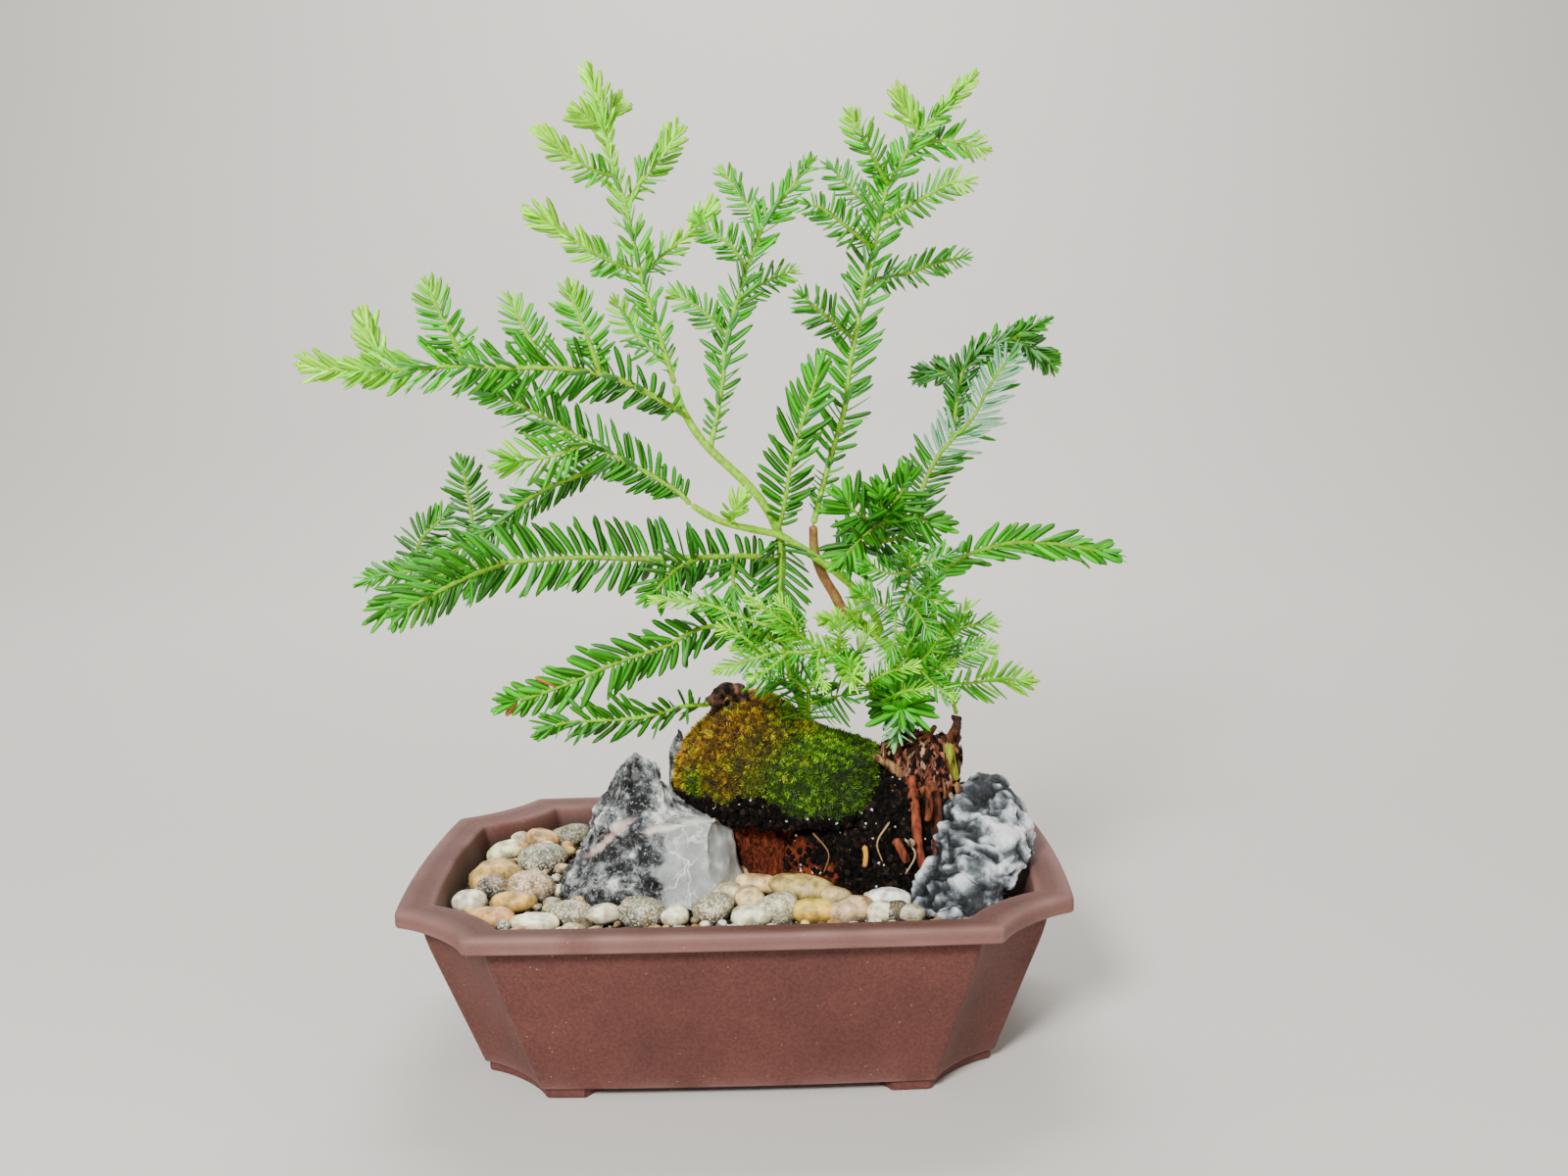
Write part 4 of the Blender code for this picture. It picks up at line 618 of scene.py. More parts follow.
def quads(rows, cols, closed=True):
    """The faces of a grid of points, row by row. When it is closed the last column joins the first."""
    row, col = np.mgrid[0:rows - 1, 0:cols if closed else cols - 1]
    low, next_low = row * cols + col, row * cols + (col + 1) % cols
    return np.stack([low, next_low, next_low + cols, low + cols], -1).reshape(-1, 4)


def capped(rows, cols):
    """The faces of a grid of rings with a flat cap on its first and on its last ring."""
    return quads(rows, cols).tolist() + [list(range(cols))[::-1], list(range((rows - 1) * cols, rows * cols))]


def curve_through(points, per_span, closed=False):
    """Catmull-Rom curve along the first axis: between b and c with neighbours a and d it is half of
    2b + (c - a)t + (2a - 5b + 4c - d)t^2 + (3b - a - 3c + d)t^3."""
    points = np.asarray(points, float)
    if closed:
        padded = np.concatenate([points[-1:], points, points[:2]])
    else:
        padded = np.concatenate([2 * points[:1] - points[1:2], points, 2 * points[-1:] - points[-2:-1]])
    a, b, c, d = (part[:, None] for part in (padded[:-3], padded[1:-2], padded[2:-1], padded[3:]))
    t = (np.arange(per_span) / per_span).reshape(1, -1, *[1] * (points.ndim - 1))
    fine = 0.5 * (2 * b + (c - a) * t + (2 * a - 5 * b + 4 * c - d) * t ** 2
                  + (3 * b - a - 3 * c + d) * t ** 3)
    fine = fine.reshape(-1, *points.shape[1:])
    return fine if closed else np.concatenate([fine, points[-1:]])


def run_of(points):
    """The distance along a polyline at each of its points."""
    return np.concatenate([[0], np.cumsum(np.linalg.norm(np.diff(points, axis=0), axis=1))])


def resample(points, spacing):
    """Points at about the spacing along a polyline."""
    run = run_of(points)
    places = np.linspace(0, run[-1], max(2, round(run[-1] / spacing) + 1))
    return np.stack([np.interp(places, run, points[:, i]) for i in range(3)], axis=1)


def frames(points):
    """Along, facing and sideways unit vectors at each point. Facing is square to the stem, towards EYE."""
    along = unit(np.gradient(points, axis=0))
    sight = unit(EYE - points)
    reference = np.where(np.abs((sight * along).sum(1, keepdims=True)) > 0.9, (0.0, 0.0, 1.0), sight)
    facing = unit(across(reference, along))
    return along, facing, np.cross(along, facing)


def slide(sheet, depths):
    """Sheet points (x, z) in millimetres, moved along the line of sight from EYE to the depths."""
    flat_points = np.array([(x, 0, z) for x, z in sheet]) * MM
    scale = (np.asarray(depths) - EYE[1]) / -EYE[1]
    return EYE + (flat_points - EYE) * scale[:, None]


def seen(points):
    """Where points show on the upright sheet from EYE: x and z in millimetres."""
    on_sheet = EYE + (points - EYE) * (-EYE[1] / (points[..., 1:2] - EYE[1]))
    return on_sheet[..., 0] / MM, on_sheet[..., 2] / MM


def ramp(value, start, end):
    """From 0 at the start to 1 at the end in a straight line, and level beyond both. The end may be lower."""
    return np.clip((value - start) / (end - start), 0, 1)


def blot(x, z, at_x, at_z, wide, high):
    """A soft spot: exp(-((x - at_x) / wide)^2 - ((z - at_z) / high)^2)."""
    return np.exp(-((x - at_x) / wide) ** 2 - ((z - at_z) / high) ** 2)


def tube(points, radii, sides):
    """A tube: rings of radius r(s) square to the path, drawn together at its two ends."""
    along, facing, sideways = frames(points)
    turns = 2 * np.pi * np.arange(sides) / sides
    radii = np.asarray(radii, float).copy()
    radii[[0, -1]] *= 0.1
    ring = np.cos(turns)[None, :, None] * facing[:, None] + np.sin(turns)[None, :, None] * sideways[:, None]
    return points[:, None] - radii[:, None, None] * ring


def outward(grid):
    """Unit normals of a closed grid of rings: the way round crossed with the way up."""
    way_round = np.roll(grid, -1, 1) - np.roll(grid, 1, 1)
    return unit(np.cross(way_round, np.gradient(grid, axis=0)))


def repeated(template, faces, origins, bases):
    """Copies of a small shape: point = origin + template in the copy's own three axes, all copies at once."""
    points = origins[:, None] + np.einsum("pk,nki->npi", template, bases)
    shifted = faces[None] + len(template) * np.arange(len(origins))[:, None, None]
    return points.reshape(-1, 3), shifted.reshape(-1, faces.shape[1])


def closed_copies(ball, cols, origins, bases):
    """Copies of a ball made of rings, each with a flat cap on its first and on its last ring."""
    count = len(ball)
    points, faces = repeated(ball, quads(count // cols, cols), origins, bases)
    first = count * np.arange(len(origins))[:, None]
    caps = np.concatenate([first + np.arange(cols)[::-1], first + np.arange(count - cols, count)])
    return points, faces.tolist() + caps.tolist()


def add(tree, kind, inputs=None, out=0, stops=(), **settings):
    """Adds a node with its settings and colour stops, gives each input a value or a link, and returns an
    output."""
    node = tree.nodes.new(kind)
    for key, value in settings.items():
        setattr(node, key, value)
    for place, colour in stops[2:]:
        node.color_ramp.elements.new(place)
    for element, (place, colour) in zip(node.color_ramp.elements if stops else (), stops):
        element.position, element.color = place, (*colour, 1)
    for key, value in (inputs or {}).items():
        socket = node.inputs[key]
        if isinstance(value, bpy.types.NodeSocket):
            tree.links.new(value, socket)
        else:
            socket.default_value = (*value, 1) if socket.type == "RGBA" else value
    return node.outputs[out]


def new_material(name, roughness, specular=0.35, **more):
    """A new material: returns it, its tree and the place in object coordinates."""
    made = bpy.data.materials.new(name)
    made.use_nodes = True
    shader = made.node_tree.nodes["Principled BSDF"]
    for key, value in {"Roughness": roughness, "Specular IOR Level": specular, **more}.items():
        shader.inputs[key].default_value = value
    return made, made.node_tree, add(made.node_tree, "ShaderNodeTexCoord", out="Object")


def finish_material(tree, colour, height=None, depth=0):
    """Links the colour, and a height as relief of the given depth, to the shader."""
    shader = tree.nodes["Principled BSDF"]
    tree.links.new(colour, shader.inputs["Base Color"])
    if height is not None:
        relief = add(tree, "ShaderNodeBump", {"Height": height, "Distance": depth, "Strength": 1.0})
        tree.links.new(relief, shader.inputs["Normal"])


def piece(name, points, faces, materials, node=None, values=None, indices=None, smooth=True):
    """A mesh that rides on the root body. It may stand for a node; values are numbers or colours at
    points."""
    mesh = bpy.data.meshes.new(name)
    faces = faces.tolist() if isinstance(faces, np.ndarray) else faces
    mesh.from_pydata(np.asarray(points, float).reshape(-1, 3).tolist(), [], faces)
    for label, data in (values or {}).items():
        data = np.asarray(data, np.float32)
        kind = "FLOAT" if data.ndim == 1 else "FLOAT_COLOR"
        if kind == "FLOAT_COLOR":
            data = np.column_stack([data, np.ones(len(data), np.float32)])
        layer = mesh.attributes.new(label, kind, "POINT")
        layer.data.foreach_set("value" if kind == "FLOAT" else "color", data.ravel())
    for one in materials if isinstance(materials, (list, tuple)) else [materials]:
        mesh.materials.append(one)
    mesh.polygons.foreach_set("use_smooth", np.full(len(mesh.polygons), smooth))
    if indices is not None:
        mesh.polygons.foreach_set("material_index", np.asarray(indices, np.int32))
    mesh.update()
    made = bpy.data.objects.new(name, mesh)
    bpy.context.scene.collection.objects.link(made)
    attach(made, "root")
    if node:
        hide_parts(*([node] if isinstance(node, str) else node))
    return made


def outline(inset, height):
    """Rings of the pot's plan at insets from the lip: bowed sides, and corners cut by the concave curve
    x = notch * sin^p, y = notch * cos^p measured in from the missing corner, with the tips rounded off."""
    inset, height = np.atleast_1d(inset)[:, None], np.atleast_1d(height)
    half_x, half_y = POT_HALF_LENGTH - inset, POT_HALF_DEPTH - inset
    notch = CORNER_NOTCH - NOTCH_TAPER * inset
    straight_x, straight_y = half_x - notch, half_y - notch
    side, turn, front = ((np.arange(n) + 0.5) / n for n in (SIDE_POINTS, NOTCH_POINTS, FRONT_POINTS))
    turn = turn * np.pi / 2
    front = 1 - front
    x = np.hstack([half_x + SIDE_BOW * (1 - side ** 2), half_x - notch * np.sin(turn) ** NOTCH_POWER,
                   straight_x * front])
    y = np.hstack([straight_y * side, half_y - notch * np.cos(turn) ** NOTCH_POWER,
                   half_y + FRONT_BOW * (1 - front ** 2)])
    x = np.hstack([x, -x[:, ::-1], -x, x[:, ::-1]])
    y = np.hstack([y, y[:, ::-1], -y, -y[:, ::-1]])
    rings = np.stack([x, y, np.broadcast_to(height[:, None], x.shape)], -1)
    return sum(w * np.roll(rings, k, 1) for k, w in zip(range(-2, 3), (0.1, 0.2, 0.4, 0.2, 0.1)))


def inner_inset(height):
    """How far the pot's inner wall lies in from the lip's edge at a height."""
    share = (LIP_INNER_HEIGHT - height) / (LIP_INNER_HEIGHT - FLOOR_TOP)
    return LIP_INNER_INSET + share * (FLOOR_INSET - LIP_INNER_INSET)


def lump_grid(name, per_level=6, per_side=10, dome=1 * MM):
    """The named lump as a fine grid of rings: |x|^p + |y|^p = 1 drawn to each level's four sides, smoothed
    both ways, and closed on top by rings that shrink as they rise."""
    shape = LUMPS[name]
    draw = random.Random(shape.seed)
    uneven = 1 + shape.rough * np.array([[draw.uniform(-1, 1) for _ in range(shape.sides)]
                                         for _ in shape.levels])
    turn = 2 * np.pi * np.arange(shape.sides) / shape.sides
    height, left, right, front, back = (np.array(shape.levels) * MM).T[:, :, None]
    wide = np.sign(np.cos(turn)) * np.abs(np.cos(turn)) ** (2 / shape.power)
    deep = np.sign(np.sin(turn)) * np.abs(np.sin(turn)) ** (2 / shape.power)
    x = (left + right) / 2 + wide * (right - left) / 2 * uneven
    y = (front + back) / 2 + deep * (back - front) / 2 * uneven
    rings = np.stack([x, y, np.broadcast_to(height, x.shape)], -1)
    grid = curve_through(rings, per_level)
    grid = curve_through(grid.swapaxes(0, 1), per_side, closed=True).swapaxes(0, 1)
    middle = grid[-1].mean(0)
    share = np.array([0.9, 0.75, 0.55, 0.35, 0.15, 0.04])[:, None, None]
    top = middle + (grid[-1] - middle) * share + np.array([0, 0, 1]) * dome * (1 - share ** 2)
    return np.concatenate([grid, top])


def faceted(grid, count, cut, seed):
    """The grid with flat faces: what stands beyond each of count seeded planes is pressed back to it, and
    not at all at the foot."""
    draw = np.random.default_rng(seed)
    middle = grid.reshape(-1, 3).mean(0)
    foot = grid[0, 0, 2]
    free = ramp(grid[..., 2], foot, foot + 26 * MM)
    for _ in range(count):
        normal = unit(draw.normal(size=3) * (1, 1, 0.6))
        normal[2] = abs(normal[2])
        reach = (grid - middle) @ normal
        limit = np.quantile(reach, draw.uniform(1 - cut, 0.99))
        grid = grid - (free * np.maximum(reach - limit, 0))[..., None] * normal
    return grid


def inside_lump(name, points, margin):
    """Which points lie in the named lump widened by margin, read from its ring levels."""
    shape = LUMPS[name]
    table = np.array(shape.levels) * MM
    height = points[:, 2]
    left, right, front, back = (np.interp(height, table[:, 0], table[:, i]) for i in range(1, 5))
    wide = (points[:, 0] - (left + right) / 2) / ((right - left) / 2 + margin)
    deep = (points[:, 1] - (front + back) / 2) / ((back - front) / 2 + margin)
    level = (height > table[0, 0] - margin) & (height < table[-1, 0] + margin)
    return level & (np.abs(wide) ** shape.power + np.abs(deep) ** shape.power < 1)


def scattered(grid, count, draw, low=-1.0):
    """Seeded places on a grid of rings above a height, spread by area: points and outward normals."""
    corner = grid[:-1]
    right, up = np.roll(grid, -1, 1)[:-1] - corner, grid[1:] - corner
    area = np.linalg.norm(np.cross(right, up), axis=-1)
    area = np.where(corner[..., 2] > low, area, 0).ravel()
    cells = draw.choice(area.size, count, p=area / area.sum())
    u, v = draw.random((2, count, 1))
    points = corner.reshape(-1, 3)[cells] + u * right.reshape(-1, 3)[cells] + v * up.reshape(-1, 3)[cells]
    return points, outward(grid)[:-1].reshape(-1, 3)[cells]


def round_stone(rows, cols):
    """A unit ball as rings from pole to pole, (cos u sin v, sin u sin v, -cos v), with small flat poles."""
    v = np.linspace(0.12, np.pi - 0.12, rows)[:, None]
    u = 2 * np.pi * np.arange(cols) / cols
    ball = np.stack([np.sin(v) * np.cos(u), np.sin(v) * np.sin(u), -np.cos(v) + 0 * u], -1)
    return ball.reshape(-1, 3)


def turned(turn, tilt_x, tilt_y):
    """Bases whose rows are three square axes: turned about the upright, then tilted a little."""
    cos, sin, zero = np.cos(turn), np.sin(turn), np.zeros_like(turn)
    x = unit(np.stack([cos, sin, tilt_x], -1))
    z = unit(across(np.stack([tilt_y, zero, zero + 1], -1), x))
    return np.stack([x, np.cross(z, x), z], 1)


def fired_clay(look):
    """Unglazed stoneware, pressed and fired: matt purplish brown with darker clouds, pale grains of grog, a
    lighter, dusty, finger-worn lip whose outer roll and rounded edges also carry a painted highlight, and an
    inner wall darkened by soil stains and painted shade."""
    made, tree, place = new_material("fired_clay", 0.66, 0.3)
    clouds = add(tree, "ShaderNodeTexNoise", {"Vector": place, "Scale": 1 / (22 * MM), "Detail": 4.0})
    colour = add(tree, "ShaderNodeValToRGB", {"Fac": clouds}, stops=((0.2, look.clay_dark), (0.7, look.clay)))
    # Grog and kiln freckles of about a millimetre, drawn a little coarser than they are so that they show.
    freckle = add(tree, "ShaderNodeTexNoise", {"Vector": place, "Scale": 1 / (1.3 * MM), "Detail": 2.0})
    darker = add(tree, "ShaderNodeMapRange", {
        "Value": freckle, "From Min": 0.35, "From Max": 0.65, "To Min": 0.8, "To Max": 1.14})
    colour = add(tree, "ShaderNodeMix", {"Factor": 1.0, 6: colour, 7: darker}, 2, data_type="RGBA",
                 blend_type="MULTIPLY")
    grains = add(tree, "ShaderNodeTexVoronoi", {"Vector": place, "Scale": 1 / (4.5 * MM)}, "Distance")
    pale = add(tree, "ShaderNodeMapRange", {
        "Value": grains, "From Min": 0.04, "From Max": 0.07, "To Min": 0.45, "To Max": 0.0})
    # The lip's outer roll is lightened for dust and a painted highlight, the rounded edges for wear and a painted
    # highlight, and the inner wall is darkened for soil stains and painted shade.
    dust_and_highlight, rubbed_and_highlight, grime_and_shade = (
        add(tree, "ShaderNodeMath", {0: add(tree, "ShaderNodeAttribute", attribute_name=label, out="Fac"),
                                     1: share}, operation="MULTIPLY")
        for label, share in (("lip", 0.3), ("wear_and_highlight", 0.45), ("soiled_and_shaded", 0.75)))
    for amount, tint in ((dust_and_highlight, look.lip), (rubbed_and_highlight, shade("AC857C")), (pale, look.speck),
                         (grime_and_shade, shade("2E211A"))):
        colour = add(tree, "ShaderNodeMix", {"Factor": amount, 6: colour, 7: tint}, 2, data_type="RGBA")
    finish_material(tree, colour, freckle, 0.12 * MM)
    return made


def water_worn_stone():
    """River pebbles, tumbled smooth: satin, each its own colour with iron stains, some freckled with dark
    mica and white quartz."""
    made, tree, place = new_material("water_worn_stone", 0.42, 0.45)
    tint = add(tree, "ShaderNodeAttribute", attribute_name="tint", out="Color")
    freckled = add(tree, "ShaderNodeAttribute", attribute_name="freckled", out="Fac")
    blotch = add(tree, "ShaderNodeTexNoise", {"Vector": place, "Scale": 1 / (4 * MM), "Detail": 4.0})
    tone = add(tree, "ShaderNodeMapRange", {
        "Value": blotch, "From Min": 0.36, "From Max": 0.62, "To Min": 0.5, "To Max": 1.5})
    colour = add(tree, "ShaderNodeMix", {"Factor": 1.0, 6: tint, 7: tone}, 2, data_type="RGBA",
                 blend_type="MULTIPLY")
    iron = add(tree, "ShaderNodeTexNoise", {
        "Vector": place, "Scale": 1 / (6 * MM), "Detail": 5.0, "Roughness": 0.65, "Distortion": 0.6})
    iron = add(tree, "ShaderNodeMapRange", {
        "Value": iron, "From Min": 0.5, "From Max": 0.68, "To Min": 0.0, "To Max": 0.55})
    colour = add(tree, "ShaderNodeMix", {"Factor": iron, 6: colour, 7: shade("A87A3C")}, 2, data_type="RGBA")
    grain = add(tree, "ShaderNodeTexNoise", {
        "Vector": place, "Scale": 1 / (0.9 * MM), "Detail": 1.0, "Roughness": 0.4})
    for start, end, most, other in ((0.46, 0.39, 0.55, "3F4240"), (0.56, 0.62, 0.7, "EFEBDD")):
        amount = add(tree, "ShaderNodeMapRange", {
            "Value": grain, "From Min": start, "From Max": end, "To Min": 0.0, "To Max": most})
        amount = add(tree, "ShaderNodeMath", {0: amount, 1: freckled}, operation="MULTIPLY")
        colour = add(tree, "ShaderNodeMix", {"Factor": amount, 6: colour, 7: shade(other)}, 2,
                     data_type="RGBA")
    finish_material(tree, colour, blotch, 0.15 * MM)
    return made


def dark_grit():
    """The damp growing mix between the pebbles: near-black crumbs with grey and white grains."""
    made, tree, place = new_material("dark_grit", 0.9, 0.2)
    grain = add(tree, "ShaderNodeTexVoronoi", {"Vector": place, "Scale": 1 / (1.6 * MM)}, "Color")
    value = add(tree, "ShaderNodeSeparateColor", {"Color": grain})
    colour = add(tree, "ShaderNodeValToRGB", {"Fac": value}, stops=(
        (0.0, shade("0C0806")), (0.55, shade("241C15")), (0.85, shade("4E4536")), (0.97, shade("B8AE96"))))
    height = add(tree, "ShaderNodeTexNoise", {"Vector": place, "Scale": 1 / (1.4 * MM), "Detail": 3.0})
    finish_material(tree, colour, height, 0.7 * MM)
    return made


def veined_limestone(look):
    """Broken grey limestone: dull and pitted dark grey on its rough side, with near-black pits of painted shade
    and bright specks of painted glint, paler and smoother on its right lobe, which hair-fine white calcite veins
    cross, with cream stains."""
    made, tree, place = new_material("veined_limestone", 0.6, 0.4)
    rough, light, veined, stained = (add(tree, "ShaderNodeAttribute", attribute_name=label, out="Fac")
                                     for label in ("rough", "light", "veined", "stained"))
    clouds = add(tree, "ShaderNodeTexNoise", {
        "Vector": place, "Scale": 1 / (7 * MM), "Detail": 9.0, "Roughness": 0.75, "Distortion": 0.5})
    clouds = add(tree, "ShaderNodeMix", {0: rough, 2: 0.585, 3: clouds})
    clouds = add(tree, "ShaderNodeMath", {0: clouds, 1: light}, operation="ADD")
    colour = add(tree, "ShaderNodeValToRGB", {"Fac": clouds}, stops=(
        (0.37, shade("08090A")), (0.47, look.limestone_dark), (0.54, look.limestone), (0.62, shade("A2A6A2")),
        (0.7, shade("F4F3EE"))))
    # Pits of a millimetre or so painted near-black, as painted shade, and specks painted bright, as painted
    # glints.
    pits_and_glints = add(tree, "ShaderNodeTexNoise", {
        "Vector": place, "Scale": 1 / (1.3 * MM), "Detail": 4.0, "Roughness": 0.7, "Distortion": 0.8})
    for start, end, most, other in ((0.45, 0.36, 0.8, shade("0C0D0E")), (0.57, 0.68, 0.6, look.vein)):
        amount = add(tree, "ShaderNodeMapRange", {
            "Value": pits_and_glints, "From Min": start, "From Max": end, "To Min": 0.0, "To Max": most})
        amount = add(tree, "ShaderNodeMath", {0: amount, 1: rough}, operation="MULTIPLY")
        colour = add(tree, "ShaderNodeMix", {"Factor": amount, 6: colour, 7: other}, 2, data_type="RGBA")
    bent = add(tree, "ShaderNodeTexNoise", {"Vector": place, "Scale": 1 / (9 * MM), "Detail": 4.0}, "Color")
    course = add(tree, "ShaderNodeMix", {"Factor": 0.009, 6: place, 7: bent}, 2, data_type="RGBA")
    upright = add(tree, "ShaderNodeMapping", {"Vector": course, "Scale": (1.0, 1.0, 0.33)})
    # The finest veins are about 0.3 mm wide; they are drawn at 0.5 mm so that they show.
    for size, width, strength in ((15, 0.009, 1.0), (6, 0.013, 0.6)):
        moved = add(tree, "ShaderNodeMapping", {"Vector": upright, "Location": (0.017 * size, 0.3, 0.0)})
        crack = add(tree, "ShaderNodeTexVoronoi", {"Vector": moved, "Scale": 1 / (size * MM)}, "Distance",
                    feature="DISTANCE_TO_EDGE")
        vein = add(tree, "ShaderNodeMapRange", {
            "Value": crack, "From Min": width, "From Max": width * 1.8, "To Min": strength, "To Max": 0.0})
        broken = add(tree, "ShaderNodeTexNoise", {"Vector": moved, "Scale": 1 / (12 * MM), "Detail": 2.0})
        present = add(tree, "ShaderNodeMapRange", {"Value": broken, "From Min": 0.4, "From Max": 0.5})
        for share in (veined, vein):
            present = add(tree, "ShaderNodeMath", {0: present, 1: share}, operation="MULTIPLY")
        colour = add(tree, "ShaderNodeMix", {"Factor": present, 6: colour, 7: look.vein}, 2, data_type="RGBA")
    stain = add(tree, "ShaderNodeAttribute", attribute_name="stain", out="Color")
    colour = add(tree, "ShaderNodeMix", {"Factor": stained, 6: colour, 7: stain}, 2, data_type="RGBA")
    relief = add(tree, "ShaderNodeMath", {0: pits_and_glints, 1: rough}, operation="MULTIPLY")
    finish_material(tree, colour, relief, 0.9 * MM)
    return made


def rippled_slate(look):
    """Rippled slate, weathered: near-black hollows between soft knobs, which are pale on top; the near-black
    hollows are painted shade and the pale knob tops a painted highlight.
    """
    made, tree, place = new_material("rippled_slate", 0.45, 0.5)
    ridge = add(tree, "ShaderNodeAttribute", attribute_name="ridge", out="Fac")
    fine = add(tree, "ShaderNodeTexNoise", {"Vector": place, "Scale": 1 / (3.5 * MM), "Detail": 7.0,
                                            "Roughness": 0.72, "Distortion": 0.8})
    fine = add(tree, "ShaderNodeMapRange", {"Value": fine, "From Min": 0.3, "From Max": 0.7, "To Min": -0.16,
                                            "To Max": 0.16})
    both = add(tree, "ShaderNodeMath", {0: ridge, 1: fine}, operation="ADD")
    colour = add(tree, "ShaderNodeValToRGB", {"Fac": both}, stops=(
        (0.1, shade("0C0E10")), (0.34, look.slate_dark), (0.54, look.slate), (0.74, shade("B6BAC0")),
        (0.95, shade("F2F3F4"))))
    finish_material(tree, colour, fine, 1.4 * MM)
    return made


def fibrous_bark(look):
    """Redwood burl bark: soft, matt, foxy red-brown fibres a millimetre wide that run up the wood."""
    made, tree, place = new_material("fibrous_bark", 0.92, 0.15)
    drawn = add(tree, "ShaderNodeMapping", {"Vector": place, "Scale": (1.0, 1.0, 0.5)})
    fibre = add(tree, "ShaderNodeTexNoise", {"Vector": drawn, "Scale": 1 / (1.3 * MM), "Detail": 5.0,
                                             "Roughness": 0.7, "Distortion": 0.8})
    # The bark's dark red-brown is darkened as a whole, painted shade, for the burl sits under the moss's
    # overhang.
    colour = add(tree, "ShaderNodeValToRGB", {"Fac": fibre}, stops=(
        (0.38, shade("0C0504")), (0.52, look.bark), (0.64, shade("8A3E22")), (0.76, shade("C07A50"))))
    finish_material(tree, colour, fibre, 1.4 * MM)
    return made


def black_peat(look):
    """Peat with perlite: crumbly, light-drinking black, dotted with white puffed grains."""
    made, tree, place = new_material("black_peat", 0.95, 0.12)
    crumb = add(tree, "ShaderNodeTexNoise", {"Vector": place, "Scale": 1 / (2.2 * MM), "Detail": 5.0,
                                             "Roughness": 0.7})
    colour = add(tree, "ShaderNodeValToRGB", {"Fac": crumb}, stops=(
        (0.38, shade("050403")), (0.55, look.peat), (0.72, shade("4A3A2C"))))
    tint = add(tree, "ShaderNodeAttribute", attribute_name="tint", out="Color")
    amount = add(tree, "ShaderNodeAttribute", attribute_name="tinted", out="Fac")
    colour = add(tree, "ShaderNodeMix", {"Factor": amount, 6: colour, 7: tint}, 2, data_type="RGBA")
    finish_material(tree, colour, crumb, 0.8 * MM)
    return made


def living_moss():
    """Cushion moss: velvety tufts, golden brown where it is dry and grass green where it is damp."""
    made, tree, place = new_material("living_moss", 0.85, 0.15, **{"Sheen Weight": 0.1})
    tint = add(tree, "ShaderNodeAttribute", attribute_name="tint", out="Color")
    grain = add(tree, "ShaderNodeTexNoise", {"Vector": place, "Scale": 1 / (1.2 * MM), "Detail": 2.0})
    tone = add(tree, "ShaderNodeMapRange", {
        "Value": grain, "From Min": 0.38, "From Max": 0.62, "To Min": 0.4, "To Max": 1.5})
    colour = add(tree, "ShaderNodeMix", {"Factor": 1.0, 6: tint, 7: tone}, 2, data_type="RGBA",
                 blend_type="MULTIPLY")
    finish_material(tree, colour, grain, 0.6 * MM)
    return made


def shredded_wood():
    """An old stump's bark and roots: dry, matt, splintered red-brown strips with pale broken edges."""
    made, tree, place = new_material("shredded_wood", 0.88, 0.2)
    drawn = add(tree, "ShaderNodeMapping", {"Vector": place, "Scale": (1.0, 1.0, 0.16)})
    strip = add(tree, "ShaderNodeTexNoise", {"Vector": drawn, "Scale": 1 / (2.2 * MM), "Detail": 5.0,
                                             "Roughness": 0.65})
    tint = add(tree, "ShaderNodeAttribute", attribute_name="tint", out="Color")
    tone = add(tree, "ShaderNodeValToRGB", {"Fac": strip}, stops=(
        (0.34, shade("2A1A14")), (0.5, shade("B4B0AC")), (0.66, shade("FFF6EC"))))
    colour = add(tree, "ShaderNodeMix", {"Factor": 1.0, 6: tint, 7: tone}, 2, data_type="RGBA",
                 blend_type="MULTIPLY")
    finish_material(tree, colour, strip, 0.9 * MM)
    return made


def young_bark():
    """Smooth living bark: satin, its green turning to brown, with a fine uneven grain."""
    made, tree, place = new_material("young_bark", 0.55, 0.4)
    tint = add(tree, "ShaderNodeAttribute", attribute_name="tint", out="Color")
    grain = add(tree, "ShaderNodeTexNoise", {"Vector": place, "Scale": 1 / (1.8 * MM), "Detail": 3.0})
    tone = add(tree, "ShaderNodeMapRange", {"Value": grain, "From Min": 0.35, "From Max": 0.65,
                                            "To Min": 0.72, "To Max": 1.2})
    colour = add(tree, "ShaderNodeMix", {"Factor": 1.0, 6: tint, 7: tone}, 2, data_type="RGBA",
                 blend_type="MULTIPLY")
    finish_material(tree, colour, grain, 0.25 * MM)
    return made


